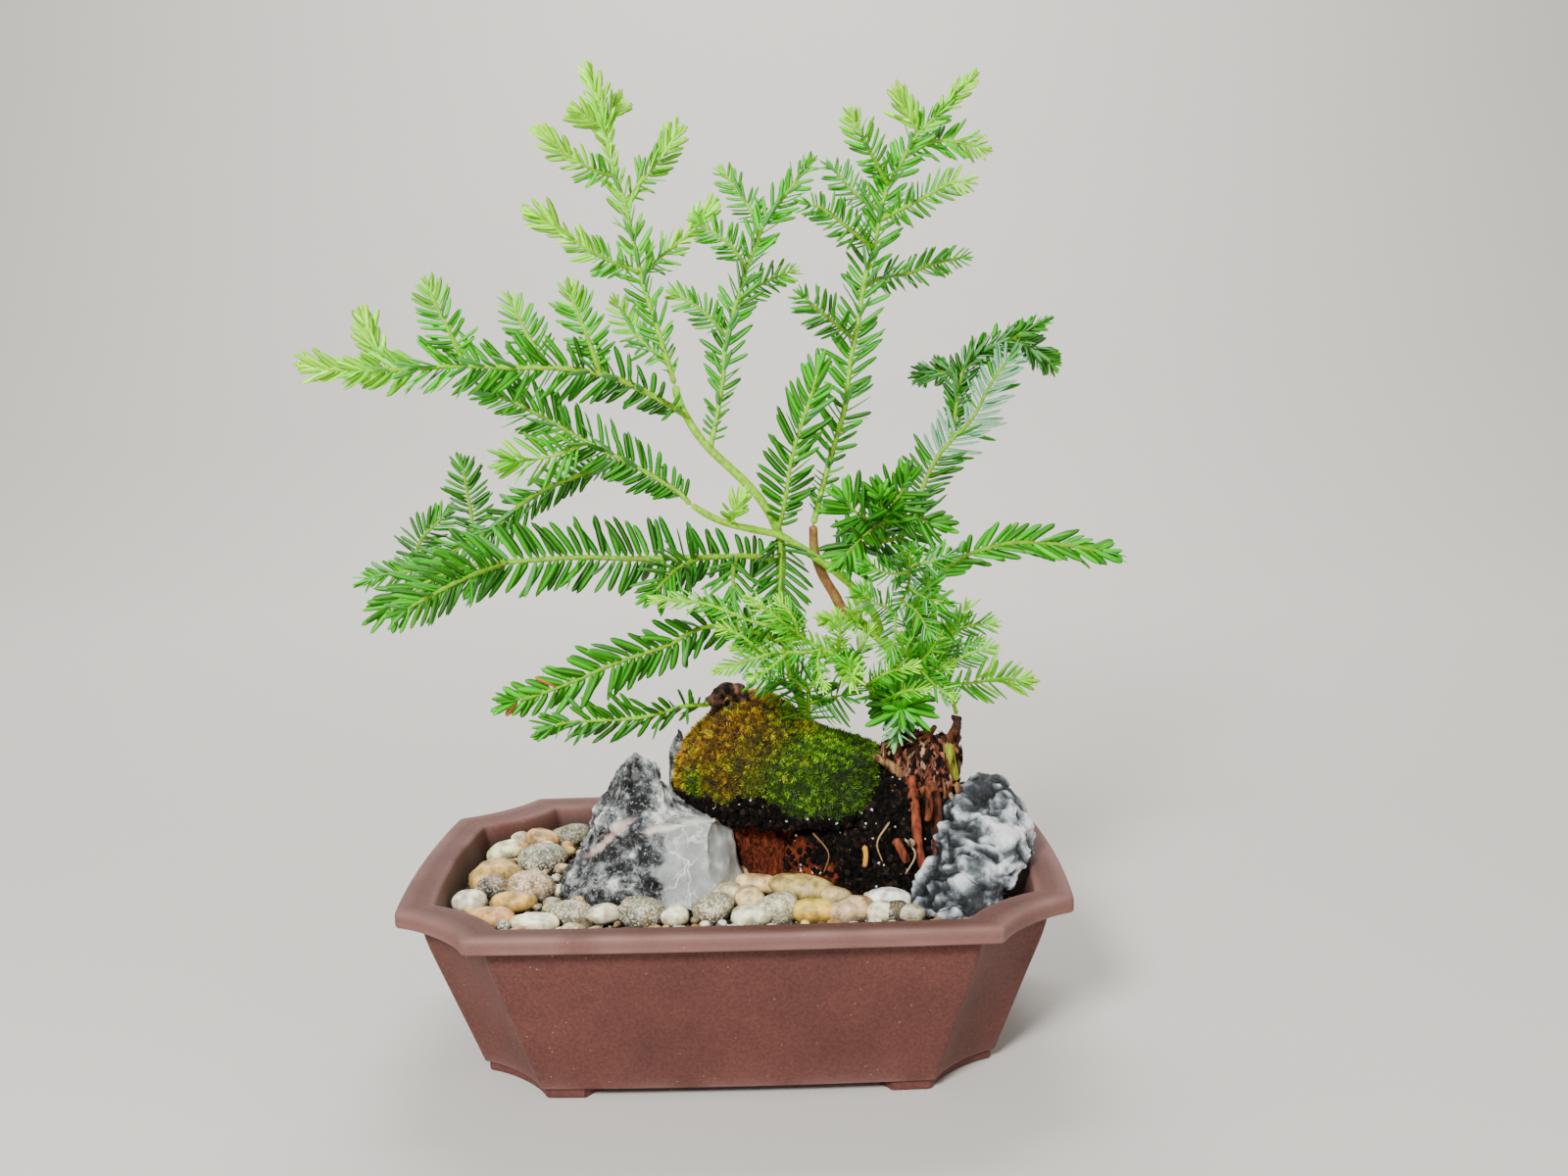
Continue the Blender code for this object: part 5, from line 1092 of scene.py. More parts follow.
def needle_leaf(name, look, bands):
    """Redwood needles: waxy and satin above with a fine pale midrib and edges lightened as a painted highlight,
    and beneath with a paler band on each side of the green midrib. Youth turns them from dark green to lime."""
    made, tree, place = new_material(name, 0.42, 0.35)
    tone, youth, upper, dry = (add(tree, "ShaderNodeAttribute", attribute_name=label, out="Fac")
                               for label in ("tone", "youth", "upper", "dry"))
    colour = add(tree, "ShaderNodeValToRGB", {"Fac": youth}, stops=(
        (0.0, look.dark), (0.5, look.mid), (1.0, look.new)))
    bright = add(tree, "ShaderNodeMapRange", {"Value": tone, "To Min": 0.35, "To Max": 1.7})
    colour = add(tree, "ShaderNodeMix", {"Factor": 1.0, 6: colour, 7: bright}, 2, data_type="RGBA",
                 blend_type="MULTIPLY")
    # The midrib is drawn pale; the lighter edges are a painted highlight.
    rib, edge = (add(tree, "ShaderNodeMapRange", {
        "Value": upper, "From Min": start, "From Max": end, "To Min": 0.0, "To Max": most})
        for start, end, most in ((0.82, 1.0, 0.4), (0.3, 0.0, 0.3)))
    below = add(tree, "ShaderNodeMath", {0: upper, 1: -1.0}, operation="MULTIPLY")
    band = add(tree, "ShaderNodeValToRGB", {"Fac": below}, stops=(
        (0.08, (0, 0, 0)), (0.2, (1, 1, 1)), (0.74, (1, 1, 1)), (0.9, (0.1, 0.1, 0.1))))
    for amount, tint in ((rib, look.stem), (edge, look.stem), (band, bands), (dry, shade("C8743A"))):
        colour = add(tree, "ShaderNodeMix", {"Factor": amount, 6: colour, 7: tint}, 2, data_type="RGBA")
    finish_material(tree, colour)
    return made


def build_pot(look):
    """The pot's section carried round its plan, with four feet that follow the corners and two drain
    holes."""
    inset, height, wear_and_highlight = (np.array(column, float) for column in zip(*POT_SECTION))
    grid = outline(inset * MM, height * MM)
    rows, cols = grid.shape[:2]
    away = outward(grid)
    swell = look.ripple * (0.5 * noise(grid, 34 * MM, 1) + 0.2 * noise(grid, 9 * MM, 2) - 0.75)
    grid = grid + swell[..., None] * away * (height < 66)[:, None, None]
    # The lip's outer roll and the rounded edges are marked for dust, wear and a painted highlight.
    lip = np.repeat(((height > 66.22) & (inset < 2.5)).astype(float), cols)
    wear_and_highlight = np.repeat(wear_and_highlight, cols) * np.clip(0.75 + 0.6 * noise(grid.reshape(-1, 3), 12 * MM, 3), 0, 1)
    # The inner wall below the lip is marked for soil stains and painted shade.
    inside = np.arange(len(inset)) > height.argmax()
    soiled_and_shaded = np.repeat((inside & (inset > 13.2)).astype(float), cols)
    made = piece("pot_body", grid, capped(rows, cols), fired_clay(look), "pot",
                 {"wear_and_highlight": wear_and_highlight, "lip": lip, "soiled_and_shaded": soiled_and_shaded})
    holes = []
    for x in (-DRAIN_SPACING / 2, DRAIN_SPACING / 2):
        turn = 2 * np.pi * np.arange(40) / 40
        ring = np.stack([x + DRAIN_RADIUS * np.cos(turn), DRAIN_RADIUS * np.sin(turn)], -1)
        post = np.stack([np.column_stack([ring, np.full(40, z)]) for z in (0, 14 * MM)])
        mesh = bpy.data.meshes.new("drain_hole")
        mesh.from_pydata(post.reshape(-1, 3).tolist(), [], capped(2, 40))
        hole = bpy.data.objects.new("drain_hole", mesh)
        bpy.context.scene.collection.objects.link(hole)
        holes.append(hole)
        cut = made.modifiers.new("drain", "BOOLEAN")
        cut.operation, cut.solver, cut.object = "DIFFERENCE", "EXACT", hole
    made.data = bpy.data.meshes.new_from_object(made.evaluated_get(bpy.context.evaluated_depsgraph_get()))
    made.modifiers.clear()
    for hole in holes:
        bpy.data.objects.remove(hole)
    build_feet(made.data.materials[0])


def build_feet(clay):
    """Each foot: a chamfered bar, its section (inset, height) carried along the corner's notch and about
    16 mm down both sides."""
    section = np.array([(28, 4.8), (28, 1.3), (28.25, 0.5), (29.1, 0.03), (35.9, 0.03), (36.75, 0.5),
                        (37, 1.3), (37, 4.8)]) * MM
    quarter = SIDE_POINTS + NOTCH_POINTS + FRONT_POINTS
    span = slice(SIDE_POINTS - FOOT_SIDE_POINTS, quarter - FRONT_POINTS + FOOT_FRONT_POINTS)
    corner = outline(section[:, 0], section[:, 1])[:, span]
    bars, faces = [], []
    for sign_x, sign_y in itertools.product((1, -1), repeat=2):
        bar = (corner * (sign_x, sign_y, 1)).swapaxes(0, 1)
        bar = bar if sign_x * sign_y > 0 else bar[::-1]
        faces += [[i + len(bars) * bar[..., 0].size for i in face] for face in capped(*bar.shape[:2])]
        bars.append(bar)
    bare = np.zeros(4 * bars[0][..., 0].size)
    piece("pot_feet", bars, faces, clay, "pot", {"wear_and_highlight": bare, "lip": bare, "soiled_and_shaded": bare},
          smooth=False)


def stone_places(look):
    """Every pebble as (x, y, length, width, turn, tint, freckles, height of its middle): the ones that show,
    then loose ones wherever a seeded try finds room."""
    draw = random.Random(29)
    limit = inner_inset(GRAVEL_BED)
    placed = [(x * MM, y * MM, a * MM, b * MM, math.radians(turn), tint, freckles,
               GRAVEL_BED + lift * MM) for x, y, a, b, turn, tint, freckles, lift in STONES]
    for attempt in range(look.loose_pebbles):
        late = attempt / look.loose_pebbles
        length = look.smallest + (look.largest - look.smallest) * draw.random() ** 1.4 * (1 - 0.7 * late)
        x, y = draw.uniform(-110, 110) * MM, draw.uniform(-78, 78) * MM
        spare_x = POT_HALF_LENGTH - limit - abs(x) - length / 2
        spare_y = POT_HALF_DEPTH - limit - abs(y) - length / 2
        near_corner = math.hypot(max(0, 30 * MM - spare_x), max(0, 30 * MM - spare_y)) > 32 * MM
        spot = np.array([[x, y, GRAVEL_BED + 2 * MM]])
        if min(spare_x, spare_y) < 0 or near_corner:
            continue
        if any(inside_lump(name, spot, 0.2 * length)[0] for name in STANDING):
            continue
        if min(math.hypot(x - p[0], y - p[1]) - (p[2] + p[3] + 2 * length) * 0.21 for p in placed) < 0:
            continue
        tint = draw.choice(LOOSE_TINTS)
        placed.append((x, y, length, length * draw.uniform(0.6, 0.9), draw.uniform(0, math.pi), tint,
                       draw.choice((0, 0, 0.3, 0.9)), GRAVEL_BED + draw.uniform(1, 3.2) * MM))
    return placed


def build_gravel(look):
    """The grit bed, the pebbles and loose grains. A pebble is |x|^p + |y|^p + |z|^p = 1 with a long, a wide
    and a low axis, made uneven by a noise that is different at each place."""
    inset = inner_inset(np.array([58.4, 59.5, 60.2]) * MM) + 0.5 * MM
    edge = outline(inset, np.array([58.4, 59.5, 60.2]) * MM)
    share = np.concatenate([np.linspace(0.98, 0.05, 44), [0.02]])[:, None, None]
    middle = edge[-1:] * (1, 1, 0) * share + (0, 0, GRAVEL_BED)
    middle[..., 2] += 0.9 * MM * fractal(middle, 7 * MM, 5)
    grid = np.concatenate([edge, middle])
    piece("grit_bed", grid, capped(*grid.shape[:2]), dark_grit(), "gravel")
    places = stone_places(look)
    stone = water_worn_stone()
    shown = len(STONES)
    for name, chosen, rows, cols in (("pebbles_shown", places[:shown], 13, 20),
                                     ("pebbles_loose", places[shown:], 7, 9)):
        x, y, length, width, turn = np.array([place[:5] for place in chosen]).T
        freckles, middle = np.array([place[6:] for place in chosen]).T
        draw = np.random.default_rng(len(chosen))
        low = np.minimum(width * draw.uniform(0.75, 0.95, len(x)), 2 * (PEBBLE_TOP - middle))
        bases = turned(turn, draw.normal(0, 0.12, len(x)), draw.normal(0, 0.14, len(x)))
        bases = bases * (np.stack([length, width, low], -1) / 2)[..., None]
        ball = round_stone(rows, cols)
        ball = np.sign(ball) * np.abs(ball) ** 0.88
        points, faces = closed_copies(ball, cols, np.stack([x, y, middle], -1), bases)
        centre = np.repeat(np.stack([x, y, middle], -1), len(ball), 0)
        swell = 1 + 0.2 * noise(points, 9 * MM, 6) + 0.1 * noise(points, 4 * MM, 8)
        points = centre + (points - centre) * swell[:, None]
        tint = np.repeat([shade(place[5]) for place in chosen], len(ball), 0)
        bright = np.repeat(draw.uniform(0.8, 1.5, len(x)), len(ball)) + 0.15 * noise(points, 5 * MM, 9)
        # Each pebble is painted darker towards its foot: painted shade where it sits in the bed.
        above = (points - centre)[:, 2] / np.repeat(low / 2, len(ball))
        bright = bright * (0.25 + 0.75 * np.clip(0.6 + above, 0, 1))
        warm = tint ** (0.9, 1.0, 1.25)
        piece(name, points, faces, stone, "gravel",
              {"tint": np.clip(warm * bright[:, None], 0, 0.92), "freckled": np.repeat(freckles, len(ball))})
    build_grit(look, stone)


def build_grit(look, stone):
    """Loose grains between the pebbles: tiny balls turned every way, mostly dark, a few white."""
    draw = np.random.default_rng(37)
    spots = middle_spots(draw, look.grit)
    size = draw.uniform(0.5, 1.3, len(spots)) * MM
    bases = turned(draw.uniform(0, 6.28, len(spots)), draw.normal(0, 0.5, len(spots)),
                   draw.normal(0, 0.5, len(spots))) * size[:, None, None]
    grain = round_stone(3, 4)
    points, faces = closed_copies(grain, 4, spots, bases)
    tints = np.array([shade(text) for text in ("16110D", "241C15", "3A3026", "6E675A", "D9D4C4")])
    tint = tints[draw.choice(5, len(spots), p=(0.32, 0.3, 0.22, 0.11, 0.05))]
    piece("grit_grains", points, faces, stone, "gravel",
          {"tint": np.repeat(tint, len(grain), 0), "freckled": np.zeros(len(points))}, smooth=False)


def middle_spots(draw, count):
    """Seeded places on the bed inside the pot and clear of what stands on it."""
    spots = np.column_stack([draw.uniform(-107, 107, count), draw.uniform(-75, 75, count),
                             draw.uniform(60.1, 61.6, count)]) * MM
    keep = (np.abs(spots[:, 0]) / (109 * MM)) ** 5 + (np.abs(spots[:, 1]) / (77 * MM)) ** 5 < 0.8
    for name in STANDING:
        keep &= ~inside_lump(name, spots, -1 * MM)
    return spots[keep]


def build_left_rock(look):
    """The left rock and its sliver: lumps pressed to flat broken faces and split into hollow chips, whose
    height is the square of the distance to the nearest of seeded points. The rough side is dark; the right
    lobe is smoother and paler, with a cream band over it and a pinkish streak on its left."""
    stone = veined_limestone(look)
    for name, cuts in (("rock_left", 16), ("rock_sliver", 6)):
        grid = faceted(lump_grid(name, 18, 18), cuts, 0.14, 6)
        x, z = seen(grid)
        whole = float(name == "rock_left")
        shoulder = whole * blot(x, z, 1, 89, 8, 6)
        grid = grid + shoulder[..., None] * MM * (3, 0, 5)
        x, z = seen(grid)
        slant = z - 0.2 * (x + 37)
        lobe = whole * ramp(x + 6 * noise(grid, 9 * MM, 4), -34, -30) * ramp(slant, 88, 84)
        large, small, tiny = (chips(grid, size * MM, 5)[0] ** 2 for size in (12, 5.5, 2.4))
        fine = fractal(grid, 2.6 * MM, 3, 3)
        pocket = whole * blot(x, z, -43, 101, 5, 6)
        rough = 3.0 * large * (1 - 0.5 * lobe) + (1.7 * small + 0.6 * tiny + 0.5 * fine) * (1 - 0.85 * lobe)
        rough = (rough + 1.4 * fractal(grid, 14 * MM, 8, 2) - 2.5 * pocket - 2.2) * (0.35 + 0.65 * whole)
        grid = grid + rough[..., None] * MM * outward(grid)
        patch = blot(x - 0.6 * (z - 100), z, -25, 100, 4.5, 8)
        # The light value paints the raised chip edges and the rock's top paler, as a painted highlight, and its
        # pocket darker, as painted shade, beside the stone's own paler patches.
        light = 0.3 * (large - 0.3) + 0.26 * (small - 0.3) + 0.18 * (tiny - 0.3)
        light = light * (1 - 0.8 * lobe) + 0.24 * patch + 0.12 * blot(x, z, -20, 89, 14, 6) * (1 - lobe)
        light = light + 0.12 * whole * ramp(z, 110, 116) - 0.04 * ramp(x, -48, -56) - 0.12 * pocket
        light = light + 0.03 * lobe + 0.01
        wobble = 1.6 * noise(grid, 5 * MM, 15)
        band = np.clip(1.5 - np.abs(slant - 82.5 + wobble) / 1.2, 0, 1) * ramp(x, -39, -35) * ramp(x, 8, 4)
        edge = ramp(x - wobble, 1, 3.5) * ramp(z, 84, 79) * ramp(z, 66, 70)
        edge = np.maximum(edge, ramp(z - wobble, 90, 91.5) * ramp(x, -12, -9))
        streak = np.clip(1.6 - np.abs(x + 46 - 1.17 * (z - 86) + wobble) / 2.0, 0, 1)
        streak = streak * ramp(z, 72, 75) * ramp(z, 89, 86)
        stained = whole * (grid[..., 1] < 0) * np.maximum(0.85 * np.maximum(band, streak), 0.8 * edge)
        stain = np.where((np.maximum(edge, 0.5 * band) > streak)[..., None], shade("E6D6AC"), shade("E8CCBC"))
        stain = np.where((band > 0.5)[..., None] & (edge < 0.3)[..., None], shade("F2ECDA"), stain)
        veined = lobe * np.exp(-((x + 19) / 11) ** 2) + 0.12 * (1 - lobe)
        piece(name + "_stone", grid, capped(*grid.shape[:2]), stone, name,
              {"light": light.ravel(), "rough": (1 - 0.92 * lobe).ravel(), "stained": stained.ravel(),
               "veined": veined.ravel(), "stain": stain.reshape(-1, 3)})


def build_right_rock(look):
    """The right rock: its lump pressed to a few faces, with soft knobs of uneven size, value noise at two scales
    along a slant. It is painted paler where a knob stands out, as a painted highlight, darker in its cracks, as
    painted shade, and pale on its broad right face."""
    grid = faceted(lump_grid("rock_right", 18, 22), 14, 0.14, 9)
    lean = np.array([[0.9, 0.1, -0.4], [0.1, 1, 0], [0.4, 0, 0.9]])
    along = grid @ lean.T * (0.8, 1, 1.2)
    along = along + 3 * MM * np.stack([noise(grid, 9 * MM, seed) for seed in (31, 32, 33)], -1)
    knob, small, fine = noise(along, 5.2 * MM, 7), noise(along, 2.9 * MM, 19), fractal(along, 1.5 * MM, 5, 2)
    crack = np.clip(1 - np.abs(noise(along * (1, 1, 1.6), 15 * MM, 41)) / 0.035, 0, 1)
    height = 2.1 * knob + 1.2 * small + 0.4 * fine - 0.9 * crack - 1.1
    grid = grid + height[..., None] * MM * outward(grid)
    x, z = seen(grid)
    pale = blot(x, z - 0.25 * (x - 110), 110, 75, 11, 6)
    # Knob tops are painted paler, a painted highlight, and cracks darker, painted shade.
    light = 0.5 + 0.46 * knob + 0.34 * small + 0.16 * fine + 0.34 * pale - 0.2 * ramp(z, 86, 96)
    light = light - 0.35 * crack
    piece("slate_stone", grid, capped(*grid.shape[:2]), rippled_slate(look), "rock_right",
          {"ridge": light.ravel()})


def build_burl(look):
    """The burl: its lump with fibres, noise drawn out upwards, raised along its normals."""
    grid = lump_grid("burl", 9, 14)
    fibre = fractal(grid * (1, 1, 0.45), 2.8 * MM, 4, 3, 0.65)
    grid = grid + (1.2 * fractal(grid, 12 * MM, 2) + 0.9 * fibre - 0.6)[..., None] * MM * outward(grid)
    piece("burl_wood", grid, capped(*grid.shape[:2]), fibrous_bark(look), "burl")


def crumble(name, spots, normals, peat, draw):
    """Crumbs of peat and white grains of perlite at the given places, as small uneven balls."""
    kind = draw.random(len(spots))
    size = np.where(kind < 0.8, draw.uniform(0.5, 1.6, len(spots)), draw.uniform(0.2, 0.65, len(spots))) * MM
    spots = spots + normals * size[:, None] * 0.3
    bases = turned(draw.uniform(0, 6.28, len(spots)), draw.normal(0, 0.6, len(spots)),
                   draw.normal(0, 0.6, len(spots))) * size[:, None, None]
    bases = bases * draw.uniform(0.7, 1.2, (len(spots), 3, 1))
    crumb = round_stone(4, 5)
    points, faces = closed_copies(crumb, 5, spots, bases)
    tints = np.array([shade(text) for text in ("050403", "120D0A", "2A2018", "F8F6EE", "6E5238")])
    chosen = np.digitize(kind, (0.42, 0.7, 0.82, 0.94))
    piece(name, points, faces, peat, "root_ball",
          {"tint": np.repeat(tints[chosen], len(crumb), 0), "tinted": np.full(len(points), 0.92)},
          smooth=False)


def build_root_ball(look):
    """The root ball: its lump broken by noise, with crumbs, white grains and hair roots on it."""
    peat = black_peat(look)
    grid = lump_grid("root_ball", 12, 12)
    normals = outward(grid)
    grid = grid + (1.6 * fractal(grid, 9 * MM, 6, 5, 0.6) - 0.8)[..., None] * MM * normals
    x, z = seen(grid)
    rust = 0.85 * ramp(x - 0.67 * (95 - z) - 7 * fractal(grid, 5 * MM, 3, 3), 15, 12)
    fleck = np.clip(0.5 + fractal(grid, 2 * MM, 8, 2), 0, 1)[..., None]
    rusty = np.array(look.bark) * 0.5 * (1 - fleck) + np.array(shade("8A3E22")) * fleck
    piece("peat_body", grid, capped(*grid.shape[:2]), peat, "root_ball",
          {"tint": rusty.reshape(-1, 3), "tinted": rust.ravel()})
    draw = np.random.default_rng(41)
    spots, normals = scattered(grid, look.crumbs, draw, 59.5 * MM)
    crumble("peat_crumbs", spots, normals, peat, draw)
    spots, normals = scattered(lump_grid("moss", 8, 12), 5 * look.crumbs, draw)
    hem = moss_hem(spots) > 0.6
    crumble("moss_hem_crumbs", spots[hem], normals[hem], peat, draw)
    strands("hair_roots", HAIR_ROOTS, peat, "root_ball")


def strands(name, table, material, node, sides=7):
    """Roots and chips: tubes along smooth paths, (thick radius, thin radius, tint, points) in millimetres."""
    points, faces, tints, count = [], [], [], 0
    for thick, thin, tint, route in table:
        path = resample(curve_through(np.array(route) * MM, 8), 0.8 * MM)
        radii = np.linspace(thick, thin, len(path)) * MM * (1 + 0.15 * noise(path, 3 * MM, 3))
        ring = tube(path, radii, sides)
        points.append(ring.reshape(-1, 3))
        faces += [[i + count for i in face] for face in capped(len(path), sides)]
        tints.append(np.tile(shade(tint), (len(points[-1]), 1)))
        count += len(points[-1])
    points = np.concatenate(points)
    piece(name, points, faces, material, node,
          {"tint": np.concatenate(tints), "tinted": np.ones(count)})


def moss_hem(points):
    """How far points lie in the black soil that hangs under the moss's ragged lower edge, 0 to 1."""
    x, z = points[:, 0] / MM, points[:, 2] / MM
    edge = 101 - 6.5 * ramp(x, 12, 30) + 4 * fractal(points, 6 * MM, 21, 3)
    return ramp(z - edge, 0, -1.5)


def moss_tint(points, look):
    """The moss's colour from place: golden brown on the left and on top, grass green to the right and below,
    darker towards its foot as painted shade under the overhang, black at its hem, where the soil is darkened
    further as painted shade, and black in a spot under the charred knob."""
    x, z = points[:, 0] / MM, points[:, 2] / MM
    gold = 0.5 - (x - 4) / 52 + 0.5 * fractal(points, 11 * MM, 8, 3) + (z - 118) / 60
    gold = np.clip(gold, 0, 1)[:, None]
    # Darker towards the foot of the cushion: painted shade under its overhang.
    tone = (1 + 0.35 * fractal(points, 5 * MM, 14, 3) - 0.4 * ramp(z, 104, 90))[:, None]
    green = np.array(look.moss) * (1 - 0.5 * ramp(x, 28, 50))[:, None]
    tint = np.clip((green * (1 - gold) + np.array(look.moss_gold) * gold) * tone, 0, 1)
    # A spot under the charred knob is darkened.
    dark_spot = 1.2 * blot(x, z, -8.5, 131, 5.5, 5) + 0.6 * fractal(points, 2.4 * MM, 6, 3)
    # The hem takes the soil's colour darkened further, painted shade.
    hem = np.maximum(moss_hem(points), np.clip(1.8 * dark_spot - 0.6, 0, 0.85))[:, None]
    return tint * (1 - hem) + np.array(look.peat) * 0.3 * hem


def build_moss(look):
    """The moss cushion: its lump with rounded hummocks, under thousands of small pointed tufts. A tuft is
    five spikes from one foot, four that lean out and one upright."""
    moss = living_moss()
    grid = lump_grid("moss", 8, 12)
    normals = outward(grid)
    hummocks = 0.9 * fractal(grid, 10 * MM, 5, 3) + 0.35 * fractal(grid, 3 * MM, 9, 2) - 0.6
    grid = grid + hummocks[..., None] * MM * normals
    # The bed under the tufts is darkened to about a fifth of the moss's colour: painted shade between the tufts.
    piece("moss_bed", grid, capped(*grid.shape[:2]), moss, "moss",
          {"tint": moss_tint(grid.reshape(-1, 3), look) * 0.22})
    draw = np.random.default_rng(43)
    spots, normals = scattered(grid, look.tufts, draw, 92 * MM)
    clear = ~inside_lump("stump", spots, 0.5 * MM)
    spots, normals = spots[clear], normals[clear]
    spikes, faces = [], []
    for k, (turn, lean, tall) in enumerate((
            (0.3, 0.55, 0.8), (1.9, 0.6, 0.9), (3.5, 0.5, 0.75), (5.0, 0.65, 1.0), (2.7, 0.1, 1.15))):
        out = np.array([math.cos(turn), math.sin(turn), 0])
        sideways = np.array([-math.sin(turn), math.cos(turn), 0])
        foot = 0.12 * out
        spikes += [foot + 0.16 * sideways, foot - 0.16 * sideways, foot + 0.2 * out,
                   out * lean * 0.75 + (0, 0, tall)]
        faces += [(4 * k, 4 * k + 2, 4 * k + 3), (4 * k + 2, 4 * k + 1, 4 * k + 3),
                  (4 * k + 1, 4 * k, 4 * k + 3), (4 * k, 4 * k + 1, 4 * k + 2)]
    height = look.tuft_height * draw.uniform(0.6, 1.25, len(spots)) * (1 - 0.5 * moss_hem(spots))
    up = unit(normals + 0.35 * draw.normal(size=normals.shape))
    side = unit(across(draw.normal(size=up.shape), up))
    bases = np.stack([side, np.cross(up, side), up], 1) * height[:, None, None]
    faces = np.array(faces)[:, [0, 2, 1]]
    points, faces = repeated(np.array(spikes), faces, spots - 0.2 * MM * normals, bases)
    tone = 0.4 + 2.6 * draw.random((len(spots), 1)) ** 2.5
    tone = tone * np.exp(0.9 * noise(spots, 2.6 * MM, 31))[:, None]
    tint = np.repeat(moss_tint(spots, look) * tone, len(spikes), 0)
    # Each tuft is painted dark at its foot, painted shade, and bright at its tip, a painted highlight.
    level = np.tile([0.06, 0.06, 0.2, 2.0], 5 * len(spots))
    piece("moss_tufts", points, faces, moss, "moss",
          {"tint": np.clip(tint * level[:, None], 0, 1)}, smooth=False)


def build_stump(look):
    """The stump: its lump split into upright strips under hundreds of loose splinters, and its bark strips,
    sticks and roots as rough tubes."""
    wood = shredded_wood()
    grid = lump_grid("stump", 8, 14)
    strips = fractal(grid * (1, 1, 0.15), 4 * MM, 3, 3, 0.6)
    grid = grid + (1.1 * strips + 0.5 * fractal(grid, 5 * MM, 9) - 0.8)[..., None] * MM * outward(grid)
    points = grid.reshape(-1, 3)
    # The body is dark brown to near-black; the near-black, which shows in the gaps between the splinters, is
    # painted shade.
    shade_of = np.clip(0.5 + 0.8 * fractal(points * (1, 1, 0.3), 6 * MM, 11), 0, 1)[:, None]
    tint = np.array(shade("0C0604")) * (1 - shade_of) + np.array(shade("5A3020")) * shade_of
    piece("stump_body", grid, capped(*grid.shape[:2]), wood, "stump", {"tint": tint})
    draw = np.random.default_rng(53)
    spots, normals = scattered(grid, look.splinters, draw)
    up = unit(across(np.array([0, 0, 1]) + 0.55 * draw.normal(size=normals.shape), normals))
    size = np.column_stack([draw.uniform(0.5, 1.3, len(spots)), draw.uniform(0.3, 0.8, len(spots)),
                            draw.uniform(1.6, 5.0, len(spots))]) * MM
    bases = np.stack([np.cross(up, normals), normals, up], 1) * size[..., None]
    splinter = round_stone(4, 5)
    points, faces = closed_copies(splinter, 5, spots + normals * size[:, 1:2], bases)
    tones = np.array([shade(one) for one in SPLINTERS])[draw.integers(0, len(SPLINTERS), len(spots))]
    piece("stump_splinters", points, faces, wood, "stump",
          {"tint": np.repeat(tones, len(splinter), 0)}, smooth=False)
    strands("stump_sticks", STUMP_STICKS + WOOD_CHIPS, wood, "stump", 10)


def stem_path(name, spacing):
    """A woody stem's path and radii: its sheet points slid to their depths, smoothed, with a straight
    taper."""
    thick, thin, near, far, route = STEMS[name]
    sheet = np.array(route, float)
    points = resample(curve_through(slide(sheet, np.linspace(near, far, len(sheet)) * MM), 8), spacing)
    return points, np.linspace(thick, thin, len(points)) * MM


def build_stems(look):
    """The woody stems: tubes whose radius wavers a little along them. The right stem is brown where its bark is
    bare.
    """
    green, brown = np.array(look.stem), np.array(look.bark)
    bark = young_bark()
    crossing = resample(lay_out_stems()["stem_crossing"][0][0], 1 * MM)
    routes = {name: stem_path(name, 1 * MM) for name in ("trunk_left", "trunk_right")}
    routes["stem_crossing"] = crossing, np.linspace(1.9, 1.3, len(crossing)) * MM
    for name, (path, radii) in routes.items():
        ring = tube(path, radii * (0.94 + 0.1 * noise(path, 5 * MM, 6)), 16)
        points = ring.reshape(-1, 3)
        z = points[:, 2] / MM
        old = ramp(z, 124, 108)
        if name == "trunk_right":
            old = np.maximum(old, ramp(z, 166, 170) * ramp(z, 212, 206))
        old = np.clip(old + 0.25 * fractal(points, 5 * MM, 4), 0, 1)[:, None]
        piece(name + "_bark", ring, capped(*ring.shape[:2]), bark, name,
              {"tint": green * (1 - old) + brown * old})
    char = shredded_wood()
    char.name = "charred_wood"
    for name in ("trunk_stub", "dead_stub"):
        path, radii = stem_path(name, 0.8 * MM)
        ring = tube(path, radii, 16)
        rough = 0.9 * fractal(ring, 3.4 * MM, 7, 4, 0.6) + 1.1 * (chips(ring, 2.8 * MM, 3)[0] ** 2 - 0.3)
        ring = ring + MM * rough[..., None] * outward(ring)
        points = ring.reshape(-1, 3)
        burnt = np.clip(0.55 + 1.1 * fractal(points, 2.6 * MM, 5, 3) - 0.3 * rough.reshape(-1), 0, 1)[:, None]
        tint = np.array(shade("0E0A08")) * burnt + np.array(shade("8A6250")) * (1 - burnt)
        piece(name + "_wood", ring, capped(*ring.shape[:2]), char, name, {"tint": tint})


